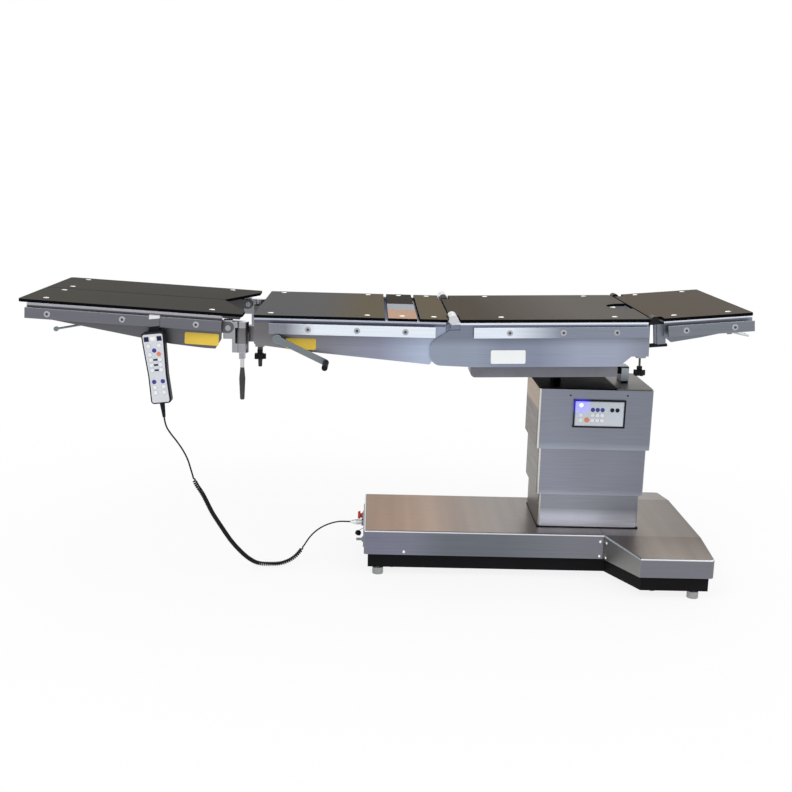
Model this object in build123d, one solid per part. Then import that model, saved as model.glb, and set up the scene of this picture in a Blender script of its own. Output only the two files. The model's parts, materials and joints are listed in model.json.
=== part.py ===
from build123d import *
import os
from math import atan2, cos, degrees, dist, hypot, pi, radians, sin, sqrt, tan

# Operating table, in millimetres. X runs from the leg end (negative) to the head end, Y from the
# near side (negative) to the far side, Z up. It is built with the column axis at X = Y = 0, and
# every piece is then moved so that the origin lies on the floor under the middle of its box.

# Clearances and common values
running_clear = 0.08
slide_clear = 0.3
stack_gap = 1.0
overrun = 5.0
fine_edge = 1.0

# Base plan and heights
plinth_left = -658.0
plinth_half = 182.5
seam_x = 37.0
wing_x = 112.0
foot_half = 327.5
foot_right = 322.0
foot_corner = 14.0
base_top = 138.0
wing_drop = 18.0
steel_bottom = 66.0
cover_sheet = 3.0
cover_edge = 6.0
skirt_bottom = 24.0
skirt_inset = 12.0
skirt_wall = 4.0
chassis_plate = 8.0
rib_half = 104.0
rib_width = 10.0
rib_end_gap = 14.0
pedestal_length = 240.0
pedestal_width = 180.0

# Floor locks and casters
lock_left = (-616.0, 155.0)
lock_right = (273.0, 298.0)
lock_pad_radius = 16.0
lock_pad_height = 20.0
lock_stem_radius = 9.0
lock_stem_top = 104.0
caster_left = (-556.0, 100.0)
caster_right = (186.0, 250.0)
wheel_radius = 28.0
wheel_width = 22.0
wheel_edge = 3.0
axle_radius = 4.0
caster_trail = 18.0
fork_leg = 3.0
fork_leg_half = 8.0
fork_crown = 6.0
fork_crown_radius = 20.0
fork_stem_radius = 6.0

# Left end panel of the base
panel_near = -145.0
panel_far = 120.0
panel_low = 72.0
panel_high = 125.0
panel_thick = 3.0
stop_y = 60.0
stop_z = 104.0
stop_radius = 14.0
stop_head = 8.0
stop_stem_radius = 7.0
stop_collar_radius = 11.0
stop_collar = 5.0
stop_travel = 4.0
socket_y = 10.0
socket_z = 100.0
socket_radius = 12.0
socket_depth = 6.0
socket_wall = 2.5
plug_radius = 9.0
plug_barrel = 24.0
plug_taper = 16.0
stud_y = -115.0
stud_z = 88.0
stud_radius = 4.0
stud_length = 20.0
stud_collar_radius = 8.0
stud_collar = 4.0

# Power pack and lift
pack_left = -590.0
tank_length = 150.0
tank_half = 80.0
tank_height = 44.0
motor_radius = 22.0
motor_length = 150.0
cylinder_radius = 45.0
cylinder_bore = 32.0
cylinder_floor = 12.0
cylinder_top = 405.0
ram_bottom = 218.0

# Column shrouds
lower_length = 297.0
lower_width = 229.0
lower_top = 335.0
middle_length = 314.0
middle_width = 245.0
middle_bottom = 241.0
middle_top = 472.0
upper_length = 331.0
upper_width = 261.0
upper_bottom = 380.0
upper_top = 556.0
shroud_wall = 2.5
shroud_corner = 12.0
guide_height = 9.0
guide_width = 24.0
guide_rise = 2.0
cap_top = 560.0
cap_thick = 20.0

# Control panel on the upper shroud
bezel_left = -66.0
bezel_right = 85.0
bezel_low = 446.0
bezel_high = 528.0
bezel_thick = 4.0
bezel_corner = 6.0
membrane_margin = 7.0
membrane_thick = 1.0

# Tilt gimbal
roll_height = 592.0
roll_shaft_radius = 11.0
pedestal_x = 100.0
pedestal_thick = 22.0
pedestal_half = 30.0
pedestal_top = 608.0
pitch_height = 640.0
pitch_shaft_radius = 12.0
pitch_shaft_half = 140.0
cross_tube_radius = 20.0
cross_tube_half = 118.0
cradle_block_half = 50.0
cradle_block_width = 26.0
cradle_block_drop = 12.0

# Saddle, measured from the pitch axis
beam_left = -377.0
beam_right = 29.0
beam_low = -24.0
beam_high = 10.0
beam_inner = 165.0
beam_outer = 240.0
beam_corner = 14.0
lug_outer = 138.0
lug_thick = 16.0
lug_radius = 23.0
bridge_half = 62.0
bridge_web = 14.0
bridge_low = 28.0
bridge_high = 36.0
tie_width = 60.0
tie_low = -20.0
tie_high = 6.0
key_centre = 205.0
key_stem = 6.0
key_head = 18.0
key_step = 6.0
runner_width = 38.0

# Table top, shared by its sections
frame_half = 276.0
board_thick = 8.0
board_corner = 5.0
flange_thick = 4.0
flange_width = 14.0
rail_height = 28.5
rail_depth = 9.5
rail_standoff = 15.5
rail_drop = 18.5
spacer_radius = 8.0
tube_width = 30.0
tube_wall = 3.0

# Places of the table top's pivots
hinge_reach = 427.0
board_rise = 141.0
table_rest = 1.69
seat_rest = 0.0
leg_rest = 2.63
head_rest = 5.34

# Back section, measured from the seat hinge, Z from the board top
back_plate_thick = 8.0
back_end = 530.0
back_depth = 128.0
back_bevel_start = 451.0
back_bevel_end = 483.0
back_end_depth = 101.0
nose_top_x = -12.0
nose_top_depth = 28.0
nose_tip_x = -64.0
nose_tip_depth = 62.0
nose_toe_depth = 122.0
nose_low_x = 50.0
nose_radius = 30.0
back_tube_low = 101.0
back_tube_high = 41.0
back_tubes = (70.0, 255.0, 445.0)
back_board_left = -6.0
back_board_right = 535.0
notch_x = 527.0
notch_radius = 58.0
runner_left = 60.0
runner_right = 440.0
back_rail_left = 53.5
back_rail_right = 523.5
back_bolts = (149.5, 294.0, 438.0)
back_knob_x = 512.0
knob_y = 258.0

# Seat hinge
barrel_radius = 13.0
hinge_pin_radius = 6.0
barrel_inner = 200.0
barrel_split = 241.0
barrel_outer = 283.0
knuckle_lug_x = 18.0
knuckle_lug_depth = 50.0

# Seat section, measured from the seat hinge
seat_plate_thick = 7.0
seat_left = -536.0
seat_right = -20.0
seat_depths = ((seat_left, 80.0), (-384.0, 97.0), (-60.0, 124.0), (-24.0, 60.0))
seat_board_left = -537.0
seat_board_split = -184.5
seat_board_small = -89.5
seat_board_right = -11.0
seat_tube_high = 16.0
seat_tube_low = 56.0
seat_tubes = (-98.0, -226.0, -360.0, -530.0)
seat_rail_left = -494.0
seat_rail_right = -49.0
seat_bolts = (-390.0, -259.0, -129.5)
seat_knob_x = -521.0
knob_radius = 16.5
knob_core_radius = 11.5
knob_lobe_radius = 5.0
knob_lobes = 5
knob_height = 14.0
knob_neck_radius = 7.5
knob_neck = 11.0
knob_stem_radius = 3.0
back_knob_drop = 36.0
seat_knob_drop = 20.0
knob_boss_depth = 6.0
knob_boss_half = 12.0
knob_boss_height = 17.0
knob_boss_roof = 3.0
knob_end_gap = 3.0

# Kidney bridge and its crank
bridge_left = -176.0
bridge_right = -98.0
bridge_split_near = -90.0
bridge_split_far = 35.0
bridge_plate = 6.0
post_x = -137.0
post_y = 120.0
post_radius = 11.0
post_depth = 130.0
guide_left = -155.0
guide_right = -119.0
guide_low = 60.0
crank_x = -471.0
crank_depth = 59.0
crank_shaft_radius = 8.0
crank_arm_length = 144.0
crank_arm_thick = 6.0
crank_arm_width = 17.0
crank_arm_gap = 3.0
crank_rest = 25.0
crank_hub_radius = 12.0
crank_grip_radius = 8.0
crank_grip_length = 78.0
crank_grip_edge = 3.0
crank_pin_radius = 4.0

# Swing hinge of a leg, measured from the seat hinge
swing_x = -570.0
swing_y = 250.0
swing_radius = 18.0
swing_pin_radius = 7.0
swing_low = 106.0
swing_high = 22.0
eye_low = 81.0
eye_high = 38.0
eye_arm_inner = 198.0
eye_arm_outer = 226.0
arm_half = 14.0
spine_thick = 8.0
bracket_left = -620.0
bracket_low = 69.0
bracket_high = 18.0
leg_axis_x = -606.0
leg_axis_depth = 38.0
leg_pin_radius = 7.0
lug_end_radius = 14.0

# Leg section, measured from its pitch axis
leg_rise = 40.0
leg_board_left = -560.0
leg_board_right = 37.0
leg_gap = 2.0
leg_cut_left = -45.0
leg_cut_right = 35.0
leg_cut_half = 210.0
leg_board_round = 12.0
leg_plate_thick = 5.0
leg_plate_left = -534.0
leg_plate_right = -15.0
leg_plate_low_right = -30.0
leg_plate_depths = ((-482.0, 48.0), (-150.0, 92.0), (-60.0, 97.0))
leg_plate_end_depth = 47.0
leg_plate_edge_depth = 70.0
leg_lug_thick = 8.0
leg_tube_high = 12.0
leg_tube_low = 36.0
leg_tube_width = 20.0
leg_tubes = (-112.0, -300.0, -520.0)
leg_end_gap = 5.0
leg_inner_bar = 16.0
leg_inner_gap = 22.0
leg_bolts = (-475.0, -277.0, -82.0)
release_x = -397.0
rod_depth = 76.0
release_y = 120.0
rod_radius = 3.0
rod_length = 105.0
rod_slope = 13.6
rod_block = 16.0
rod_hub_radius = 6.0
rod_ring_radius = 7.0

# Lock lever under a swing hinge
lever_drop = 10.0
lever_eye_radius = 8.0
lever_eye_thick = 10.0
lever_cheek = 4.0
lever_cheek_half = 8.0
lever_pin_radius = 3.0
lever_shank_radius = 5.5
lever_shank = 32.0
lever_grip_top = 5.5
lever_grip_radius = 8.5
lever_grip_end = 6.0
lever_grip = 90.0
lever_grip_share = 0.35
lever_grip_edge = 3.0

# Head section, measured from its pivot
head_pivot_x = 545.0
head_pivot_depth = 4.0
head_knuckle_radius = 11.0
head_pin_radius = 5.0
head_knuckle_inner = 240.0
head_knuckle_split = 257.0
head_knuckle_outer = 275.0
head_board_left = -4.0
head_board_right = 267.0
head_notch_x = 26.0
head_notch_half = 235.0
head_plate_thick = 9.0
head_plate_left = 24.0
head_plate_right = 265.0
head_depths = ((265.0, 46.0), (204.0, 48.0), (124.0, 59.0), (43.0, 67.0), (24.0, 50.0))
head_block_left = 2.0
head_block_right = 31.0
head_block_high = 18.0
head_block_low = 72.0
head_block_relief = 6.0
head_clamp = 7.0
head_clamp_left = -15.0
head_clamp_right = 35.0
head_tubes = (44.0, 205.0)
head_tube_low = 38.0
head_rail_left = 30.0
head_rail_right = 262.0
head_bolts = (78.0, 209.0)
loop_pivot_x = 211.0
loop_pivot_depth = 54.0
loop_end_x = 266.44
loop_end_depth = 70.0
loop_inner = 200.0
loop_half = 232.0
loop_radius = 3.0
loop_hub_radius = 6.0
loop_ear = 8.0

# Handset on the near leg rail, measured in the frame of the leg
handset_x = -191.4
handset_top = -16.8
handset_lean = 9.16
handset_length = 193.0
handset_thick = 28.0
handset_half_widths = (31.0, 30.0, 26.0, 27.5)
handset_stations_share = (0.0, 0.18, 0.6, 1.0)
handset_corner = 9.0
handset_edge = 5.0
hook_half = 14.0
hook_sheet = 3.0
hook_drop = 20.0
hook_tail = 60.0
relief_length = 39.0
relief_top_radius = 7.0
relief_end_radius = 4.0

# Cord of the handset
wire_radius = 2.25
curl_radius = 6.5
curl_count = 88
curl_steps = 4
curl_settle = 1.5
curl_ease_share = 2.0
gap_samples = 4
cord_first_run = 22.0
cord_last_run = 15.0
run_share = 0.45
upper_route = ((-1187.0, -323.2, 450.0), (-1170.0, -324.0, 429.0),
               (-1152.0, -324.6, 403.0), (-1139.0, -324.0, 376.0), (-1132.5, -322.0, 351.0))
curl_route = ((-1122.0, -315.0, 308.0), (-1105.0, -305.0, 279.0), (-1093.0, -292.5, 247.0),
              (-1082.0, -278.0, 214.0), (-1067.0, -261.5, 181.0), (-1052.0, -242.5, 147.0),
              (-1037.0, -217.5, 111.0), (-1017.5, -189.0, 74.0), (-995.0, -156.0, 37.0),
              (-969.0, -131.0, 11.5), (-935.0, -120.0, 6.8), (-901.0, -116.0, 7.4),
              (-872.0, -105.5, 16.5), (-850.0, -92.5, 33.0))
lower_route = ((-821.0, -71.5, 76.0), (-801.0, -57.0, 93.0), (-777.0, -41.0, 103.5),
               (-752.0, -22.0, 107.0), (-731.0, -2.5, 104.5))

# Derived places shared by several pieces
rail_inner = frame_half + rail_standoff
rail_outer = rail_inner + rail_depth
board_half = frame_half - stack_gap
seat_plate_outer = frame_half - stack_gap
seat_plate_inner = seat_plate_outer - seat_plate_thick
chassis_top = steel_bottom + chassis_plate
cover_inside = base_top - cover_sheet
key_top = beam_high + key_step + key_step
runner_low = beam_high + slide_clear
runner_high = board_rise - back_tube_low
crank_arm_inner = rail_outer + crank_arm_gap
base_plan = [(plinth_left, -plinth_half), (seam_x, -plinth_half), (wing_x, -foot_half),
             (foot_right, -foot_half), (foot_right, foot_half), (wing_x, foot_half),
             (seam_x, plinth_half), (plinth_left, plinth_half)]
lock_places = [(x, side * y) for x, y in (lock_left, lock_right) for side in (-1, 1)]
caster_places = [(x, side * y) for x, y in (caster_left, caster_right) for side in (-1, 1)]
sides = (("front", -1), ("rear", 1))


def turned(x, z, angle):
    """The point (x, z) turned about Y by angle degrees, positive from Z towards X."""
    a = radians(angle)
    return x * cos(a) + z * sin(a), z * cos(a) - x * sin(a)


def block(x0, x1, y0, y1, z0, z1):
    """A box between two corners."""
    middle = Pos((x0 + x1) / 2, (y0 + y1) / 2, (z0 + z1) / 2)
    return middle * Box(abs(x1 - x0), abs(y1 - y0), abs(z1 - z0))


def rod_z(x, y, z0, z1, radius):
    return Pos(x, y, (z0 + z1) / 2) * Cylinder(radius, abs(z1 - z0))


def rod_y(x, z, y0, y1, radius):
    return Pos(x, (y0 + y1) / 2, z) * Rot(90, 0, 0) * Cylinder(radius, abs(y1 - y0))


def rod_x(y, z, x0, x1, radius):
    return Pos((x0 + x1) / 2, y, z) * Rot(0, 90, 0) * Cylinder(radius, abs(x1 - x0))


def plate_z(points, z0, z1):
    """A flat plate from its plan points (x, y)."""
    face = make_face(Polyline(*[(x, y, z0) for x, y in points], close=True))
    return extrude(face, amount=z1 - z0, dir=(0, 0, 1))


def plate_y(points, y0, y1):
    """A flat plate from its side points (x, z)."""
    low, high = min(y0, y1), max(y0, y1)
    face = make_face(Polyline(*[(x, low, z) for x, z in points], close=True))
    return extrude(face, amount=high - low, dir=(0, 1, 0))


def plate_x(points, x0, x1):
    """A flat plate from its end points (y, z)."""
    face = make_face(Polyline(*[(x0, y, z) for y, z in points], close=True))
    return extrude(face, amount=x1 - x0, dir=(1, 0, 0))


def inset(points, distance):
    """A closed plan, drawn against the clock from above, with every side moved in by distance."""
    moved = []
    count = len(points)
    for i in range(count):
        ax, ay = points[i - 1]
        bx, by = points[i]
        cx, cy = points[(i + 1) % count]
        ux, uy = (bx - ax) / hypot(bx - ax, by - ay), (by - ay) / hypot(bx - ax, by - ay)
        vx, vy = (cx - bx) / hypot(cx - bx, cy - by), (cy - by) / hypot(cx - bx, cy - by)
        reach = distance * tan(atan2(ux * vy - uy * vx, ux * vx + uy * vy) / 2)
        moved.append((bx - uy * distance - ux * reach, by + ux * distance - uy * reach))
    return moved


def tube_y(x0, x1, half, z0, z1):
    """A rectangular tube across the table."""
    hollow = block(x0 + tube_wall, x1 - tube_wall, -half - overrun, half + overrun,
                   z0 + tube_wall, z1 - tube_wall)
    return block(x0, x1, -half, half, z0, z1) - hollow


def round_edges(shape, axis, radius):
    """Rounds the edges that run along an axis."""
    return fillet(shape.edges().filter_by(axis), radius)


def rails(left, right, bolts, plate_outer, side):
    """An accessory rail on one side with the spacers that hold it."""
    low, high = -rail_drop - rail_height, -rail_drop
    bar = round_edges(block(left, right, side * rail_inner, side * rail_outer, low, high),
                      Axis.X, fine_edge)
    held = [rod_y(x, (low + high) / 2, side * plate_outer, side * rail_inner, spacer_radius)
            for x in bolts]
    return [bar] + held


# Base

def skirt():
    outside = inset(base_plan, skirt_inset)
    inside = inset(base_plan, skirt_inset + skirt_wall)
    walls = []
    for i in range(len(outside)):
        j = (i + 1) % len(outside)
        walls.append(plate_z([outside[i], outside[j], inside[j], inside[i]], skirt_bottom, steel_bottom))
    return walls


def plinth_cover():
    outer = block(plinth_left, seam_x, -plinth_half, plinth_half, steel_bottom, base_top)
    rim = [e for e in outer.edges()
           if e.center().X < seam_x - overrun and e.center().Z > steel_bottom + overrun]
    outer = fillet(rim, cover_edge)
    inner = block(plinth_left + cover_sheet, seam_x + overrun, -plinth_half + cover_sheet,
                  plinth_half - cover_sheet, steel_bottom - overrun, cover_inside)
    shell = outer - inner
    return shell - block(-cylinder_radius - overrun, seam_x + overrun, -cylinder_radius - overrun,
                         cylinder_radius + overrun, cover_inside - overrun, base_top + overrun)


def foot_block(move, top):
    """The foot's outer or inner form: its plan under a roof that slopes over the wings."""
    plan = inset(base_plan, move)[1:-1]
    low = steel_bottom
    if move:
        low -= overrun
        plan = [(seam_x - overrun, plan[0][1]), *plan, (seam_x - overrun, plan[-1][1])]
    high = top + wing_drop
    roof = [(-foot_half, low), (foot_half, low), (foot_half, top - wing_drop), (plinth_half, top),
            (-plinth_half, top), (-foot_half, top - wing_drop)]
    body = plate_z(plan, low, high) & plate_x(roof, seam_x - 2 * overrun, foot_right + overrun)
    return fillet(foot_corners(body), foot_corner - move)


def foot_corners(body):
    return [e for e in body.edges().filter_by(Axis.Z) if e.center().X > wing_x + overrun]


def foot_cover():
    outer = foot_block(0, base_top)
    rim = [e for e in outer.edges()
           if e.center().Z > base_top - wing_drop - fine_edge and e.center().X > seam_x + fine_edge
           and (e.center().X > foot_right - foot_corner or abs(e.center().Y) > plinth_half + fine_edge)
           and not (abs(e.center().Y) < plinth_half + fine_edge and e.center().X < foot_right - foot_corner)]
    outer = fillet(rim, cover_edge)
    inner = foot_block(cover_sheet, cover_inside)
    shell = outer - inner
    return shell - block(seam_x - overrun, cylinder_radius + overrun, -cylinder_radius - overrun,
                         cylinder_radius + overrun, cover_inside - overrun, base_top + overrun)


def chassis():
    plan = inset(base_plan, cover_sheet)
    split = plan[1][0]
    plinth = block(plan[0][0], split, plan[0][1], plan[7][1], steel_bottom, chassis_top)
    foot = plate_z([plan[i] for i in (1, 2, 3, 4, 5, 6)], steel_bottom, chassis_top)
    foot = fillet(foot_corners(foot), foot_corner - cover_sheet)
    ribs = [block(plinth_left + rib_end_gap, -pedestal_length / 2, side * rib_half,
                  side * (rib_half + rib_width), chassis_top, cover_inside) for side in (-1, 1)]
    stand = block(-pedestal_length / 2, pedestal_length / 2, -pedestal_width / 2, pedestal_width / 2,
                  chassis_top, cover_inside)
    stand -= rod_z(0, 0, chassis_top, cover_inside, cylinder_radius + stack_gap)
    for x, y in lock_places:
        hole = rod_z(x, y, steel_bottom, chassis_top, lock_stem_radius + running_clear)
        plinth, foot = plinth - hole, foot - hole
    for x, y in caster_places:
        hole = rod_z(x, y, steel_bottom, chassis_top, fork_stem_radius + running_clear)
        plinth, foot = plinth - hole, foot - hole
    return [plinth, foot, stand] + ribs


def lock_feet():
    feet = []
    for x, y in lock_places:
        pad = rod_z(x, y, 0, lock_pad_height, lock_pad_radius)
        pad = fillet(pad.edges().sort_by(Axis.Z)[-1], fine_edge)
        feet.append(pad + rod_z(x, y, lock_pad_height, lock_stem_top, lock_stem_radius))
    return feet


def caster_fork(x, y):
    crown_top = steel_bottom - slide_clear
    crown_low = crown_top - fork_crown
    inner = wheel_width / 2 + stack_gap
    crown = rod_z(x, y, crown_low, crown_top, fork_crown_radius)
    crown += rod_z(x, y, crown_top, chassis_top, fork_stem_radius)
    wheel_x = x - caster_trail
    for side in (-1, 1):
        y0, y1 = y + side * inner, y + side * (inner + fork_leg)
        crown += plate_y([(wheel_x - fork_leg_half, wheel_radius), (wheel_x + fork_leg_half, wheel_radius),
                          (x + fork_leg_half, crown_low), (x - caster_trail, crown_low)], y0, y1)
        crown += rod_y(wheel_x, wheel_radius, y0, y1, fork_leg_half)
    return crown + rod_y(wheel_x, wheel_radius, y - inner, y + inner, axle_radius)


def caster_wheel(x, y):
    wheel = rod_y(x - caster_trail, wheel_radius, y - wheel_width / 2, y + wheel_width / 2, wheel_radius)
    wheel = fillet(wheel.edges().filter_by(GeomType.CIRCLE), wheel_edge)
    return wheel - rod_y(x - caster_trail, wheel_radius, y - wheel_width, y + wheel_width,
                         axle_radius + running_clear)


def end_panel():
    outer_x = plinth_left - panel_thick
    plate = block(outer_x, plinth_left, panel_near, panel_far, panel_low, panel_high)
    plate = round_edges(plate, Axis.X, cover_edge)
    collar = rod_x(stop_y, stop_z, outer_x - stop_collar, outer_x, stop_collar_radius)
    ring = rod_x(socket_y, socket_z, outer_x - socket_depth, outer_x, socket_radius)
    plate += collar + ring
    plate -= rod_x(stop_y, stop_z, outer_x - stop_collar - overrun, plinth_left,
                   stop_stem_radius + running_clear)
    plate -= rod_x(socket_y, socket_z, outer_x - socket_depth - overrun, outer_x,
                   socket_radius - socket_wall)
    plate += rod_x(stud_y, stud_z, outer_x - stud_collar, outer_x, stud_collar_radius)
    return plate + rod_x(stud_y, stud_z, outer_x - stud_length, outer_x, stud_radius)


def stop_button():
    face = plinth_left - panel_thick - stop_collar
    head_back = face - stop_travel - stack_gap
    head = rod_x(stop_y, stop_z, head_back - stop_head, head_back, stop_radius)
    head = fillet(head.edges().sort_by(Axis.X)[0], stop_head / 2)
    return head + rod_x(stop_y, stop_z, head_back, plinth_left - stop_travel - stack_gap,
                        stop_stem_radius)


def power_pack():
    tank = block(pack_left, pack_left + tank_length, -tank_half, tank_half, chassis_top,
                 chassis_top + tank_height)
    motor = rod_x(0, chassis_top + motor_radius, pack_left + tank_length,
                  pack_left + tank_length + motor_length, motor_radius)
    return [tank, motor]


# Column

def shroud(length, width, low, high):
    outer = Pos(0, 0, (low + high) / 2) * Box(length, width, high - low)
    outer = round_edges(outer, Axis.Z, shroud_corner)
    return outer - inner_form(length, width, low - overrun, high + overrun)


def inner_form(length, width, low, high):
    form = Pos(0, 0, (low + high) / 2) * Box(length - 2 * shroud_wall, width - 2 * shroud_wall, high - low)
    return round_edges(form, Axis.Z, shroud_corner - shroud_wall)


def guides(inner_length, inner_width, outer_length, outer_width, low):
    """Four slide strips inside a shroud, close to the shroud within it."""
    z0, z1 = low + guide_rise, low + guide_rise + guide_height
    strips = []
    for side in (-1, 1):
        strips.append(block(side * (inner_length / 2 + slide_clear), side * (outer_length / 2 - shroud_wall),
                            -guide_width, guide_width, z0, z1))
        strips.append(block(-guide_width, guide_width, side * (inner_width / 2 + slide_clear),
                            side * (outer_width / 2 - shroud_wall), z0, z1))
    return strips


def lift_cylinder():
    barrel = rod_z(0, 0, chassis_top, cylinder_top, cylinder_radius)
    return barrel - rod_z(0, 0, chassis_top + cylinder_floor, cylinder_top + overrun, cylinder_bore)


def column_cap():
    low = cap_top - cap_thick
    plate = inner_form(upper_length, upper_width, low, cap_top)
    x0, x1 = pedestal_x - pedestal_thick / 2, pedestal_x + pedestal_thick / 2
    bearings = []
    for side in (-1, 1):
        post = block(side * x0, side * x1, -pedestal_half, pedestal_half, cap_top, pedestal_top)
        post = round_edges(post, Axis.X, cover_edge) if pedestal_half > cover_edge else post
        bearings.append(post - rod_x(0, roll_height, side * (x0 - overrun), side * (x1 + overrun),
                                     roll_shaft_radius + running_clear))
    return [plate] + bearings


def control_panel():
    y = -upper_width / 2
    bezel = block(bezel_left, bezel_right, y - bezel_thick, y, bezel_low, bezel_high)
    bezel = round_edges(bezel, Axis.Y, bezel_corner)
    sheet = block(bezel_left + membrane_margin, bezel_right - membrane_margin, y - bezel_thick - membrane_thick,
                  y - bezel_thick, bezel_low + membrane_margin, bezel_high - membrane_margin)
    return bezel + round_edges(sheet, Axis.Y, bezel_corner - fine_edge)


# Gimbal and saddle

def roll_cradle():
    end = pedestal_x + pedestal_thick / 2 + stack_gap
    body = rod_x(0, roll_height, -end, end, roll_shaft_radius)
    body += block(-cradle_block_half, cradle_block_half, -cradle_block_width, cradle_block_width,
                  roll_height - cradle_block_drop, pitch_height)
    body += rod_y(0, pitch_height, -cross_tube_half, cross_tube_half, cross_tube_radius)
    return body + rod_y(0, pitch_height, -pitch_shaft_half, pitch_shaft_half, pitch_shaft_radius)


def saddle():
    parts = []
    for side in (-1, 1):
        beam = block(beam_left, beam_right, side * beam_inner, side * beam_outer, beam_low, beam_high)
        toe = [e for e in beam.edges().filter_by(Axis.Y)
               if e.center().X < 0 and e.center().Z < 0]
        beam = fillet(toe, beam_corner)
        key = [(key_centre - key_stem / 2, beam_high), (key_centre + key_stem / 2, beam_high),
               (key_centre + key_stem / 2, beam_high + key_step),
               (key_centre + key_head / 2, beam_high + key_step),
               (key_centre + key_head / 2, key_top), (key_centre - key_head / 2, key_top),
               (key_centre - key_head / 2, beam_high + key_step),
               (key_centre - key_stem / 2, beam_high + key_step)]
        beam += plate_x([(side * y, z) for y, z in key], beam_left, beam_right)
        parts.append(beam)
        web_y = beam_inner + bridge_web
        parts.append(block(-bridge_half, bridge_half, side * beam_inner, side * web_y, beam_high, bridge_low))
        lug = rod_y(0, 0, side * (lug_outer - lug_thick), side * lug_outer, lug_radius)
        lug += block(-lug_radius, lug_radius, side * (lug_outer - lug_thick), side * lug_outer, 0, bridge_low)
        parts.append(lug - rod_y(0, 0, side * (lug_outer - lug_thick - overrun),
                                 side * (lug_outer + overrun), pitch_shaft_radius + running_clear))
    web_y = beam_inner + bridge_web
    parts.append(block(-bridge_half, bridge_half, -web_y, web_y, bridge_low, bridge_high))
    parts.append(block(beam_left + beam_corner, beam_left + beam_corner + tie_width, -beam_inner, beam_inner,
                       tie_low, tie_high))
    return parts


# Back section

def back_side(side):
    outline = [(nose_top_x, -nose_top_depth), (nose_tip_x, -nose_tip_depth), (nose_tip_x, -nose_toe_depth),
               (nose_low_x, -back_depth), (back_bevel_start, -back_depth), (back_bevel_end, -back_end_depth),
               (back_end, -back_end_depth), (back_end, -board_thick), (knuckle_lug_x, -board_thick),
               (knuckle_lug_x, -nose_top_depth)]
    inner, outer = frame_half, frame_half + back_plate_thick
    plate = plate_y(outline, side * inner, side * outer)
    tip = [e for e in plate.edges().filter_by(Axis.Y)
           if e.center().X < nose_top_x - overrun]
    plate = fillet(tip, nose_radius)
    return plate + block(knuckle_lug_x + stack_gap, back_end - barrel_radius, side * (inner - flange_width),
                         side * inner, -board_thick - flange_thick, -board_thick)


def back_frame():
    parts = []
    for side in (-1, 1):
        parts.append(back_side(side))
        lug = plate_y([(-hinge_pin_radius, -hinge_pin_radius), (knuckle_lug_x, -hinge_pin_radius),
                       (knuckle_lug_x, -knuckle_lug_depth), (hinge_pin_radius, -knuckle_lug_depth),
                       (-hinge_pin_radius, -2 * barrel_radius)], side * (barrel_split + stack_gap),
                      side * frame_half)
        barrel = rod_y(0, 0, side * (barrel_split + stack_gap), side * barrel_outer, barrel_radius)
        lug += barrel
        lug -= rod_y(0, 0, side * barrel_split, side * (barrel_outer - stack_gap),
                     hinge_pin_radius + running_clear)
        parts.append(lug)
        low, high = -(board_rise - runner_low), -(board_rise - runner_high)
        y0, y1 = key_centre - runner_width / 2, key_centre + runner_width / 2
        runner = block(runner_left, runner_right, side * y0, side * y1, low, high)
        wide, narrow = key_head / 2 + slide_clear, key_stem / 2 + slide_clear
        step = -(board_rise - beam_high - key_step) - slide_clear
        runner -= block(runner_left - overrun, runner_right + overrun, side * (key_centre - narrow),
                        side * (key_centre + narrow), low - overrun, step)
        runner -= block(runner_left - overrun, runner_right + overrun, side * (key_centre - wide),
                        side * (key_centre + wide), step, -(board_rise - key_top) + slide_clear)
        parts.append(runner)
        x0, x1 = back_knob_x - knob_boss_half, back_knob_x + knob_boss_half
        boss_low = -back_end_depth - knob_boss_depth
        boss = block(x0, x1, side * (knob_y - knob_boss_half), side * frame_half, boss_low,
                     boss_low + knob_boss_height)
        parts.append(boss - rod_z(back_knob_x, side * knob_y, boss_low - overrun,
                                  boss_low + knob_boss_height - knob_boss_roof,
                                  knob_stem_radius + running_clear))
        arm = block(back_end - barrel_radius - tube_width, head_pivot_x, side * (head_knuckle_split + stack_gap),
                    side * head_knuckle_outer, -board_thick - 2 * flange_thick, -board_thick)
        arm -= block(back_end - barrel_radius - tube_width - overrun, back_end - barrel_radius,
                     side * (frame_half - flange_width), side * (frame_half + overrun),
                     -board_thick - flange_thick, -board_thick + overrun)
        arm += rod_y(head_pivot_x, -head_pivot_depth, side * (head_knuckle_split + stack_gap),
                     side * head_knuckle_outer, head_knuckle_radius)
        parts.append(arm - rod_y(head_pivot_x, -head_pivot_depth, side * head_knuckle_split,
                                 side * head_knuckle_outer, head_pin_radius + running_clear))
    for x in back_tubes:
        parts.append(tube_y(x, x + tube_width, frame_half, -back_tube_low, -back_tube_high))
    return parts


def back_board():
    board = block(back_board_left, back_board_right, -board_half, board_half, -board_thick, 0)
    edge = head_pivot_x - head_knuckle_radius - 2 * stack_gap
    for side in (-1, 1):
        board -= block(back_board_left - overrun, knuckle_lug_x + stack_gap, side * (barrel_inner - barrel_radius),
                       side * (board_half + overrun), -board_thick - overrun, overrun)
        board -= block(edge, back_board_right + overrun, side * (head_knuckle_inner - 2 * stack_gap),
                       side * (board_half + overrun), -board_thick - overrun, overrun)
    return board - rod_z(notch_x, 0, -board_thick - overrun, overrun, notch_radius)


# Seat section

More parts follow.
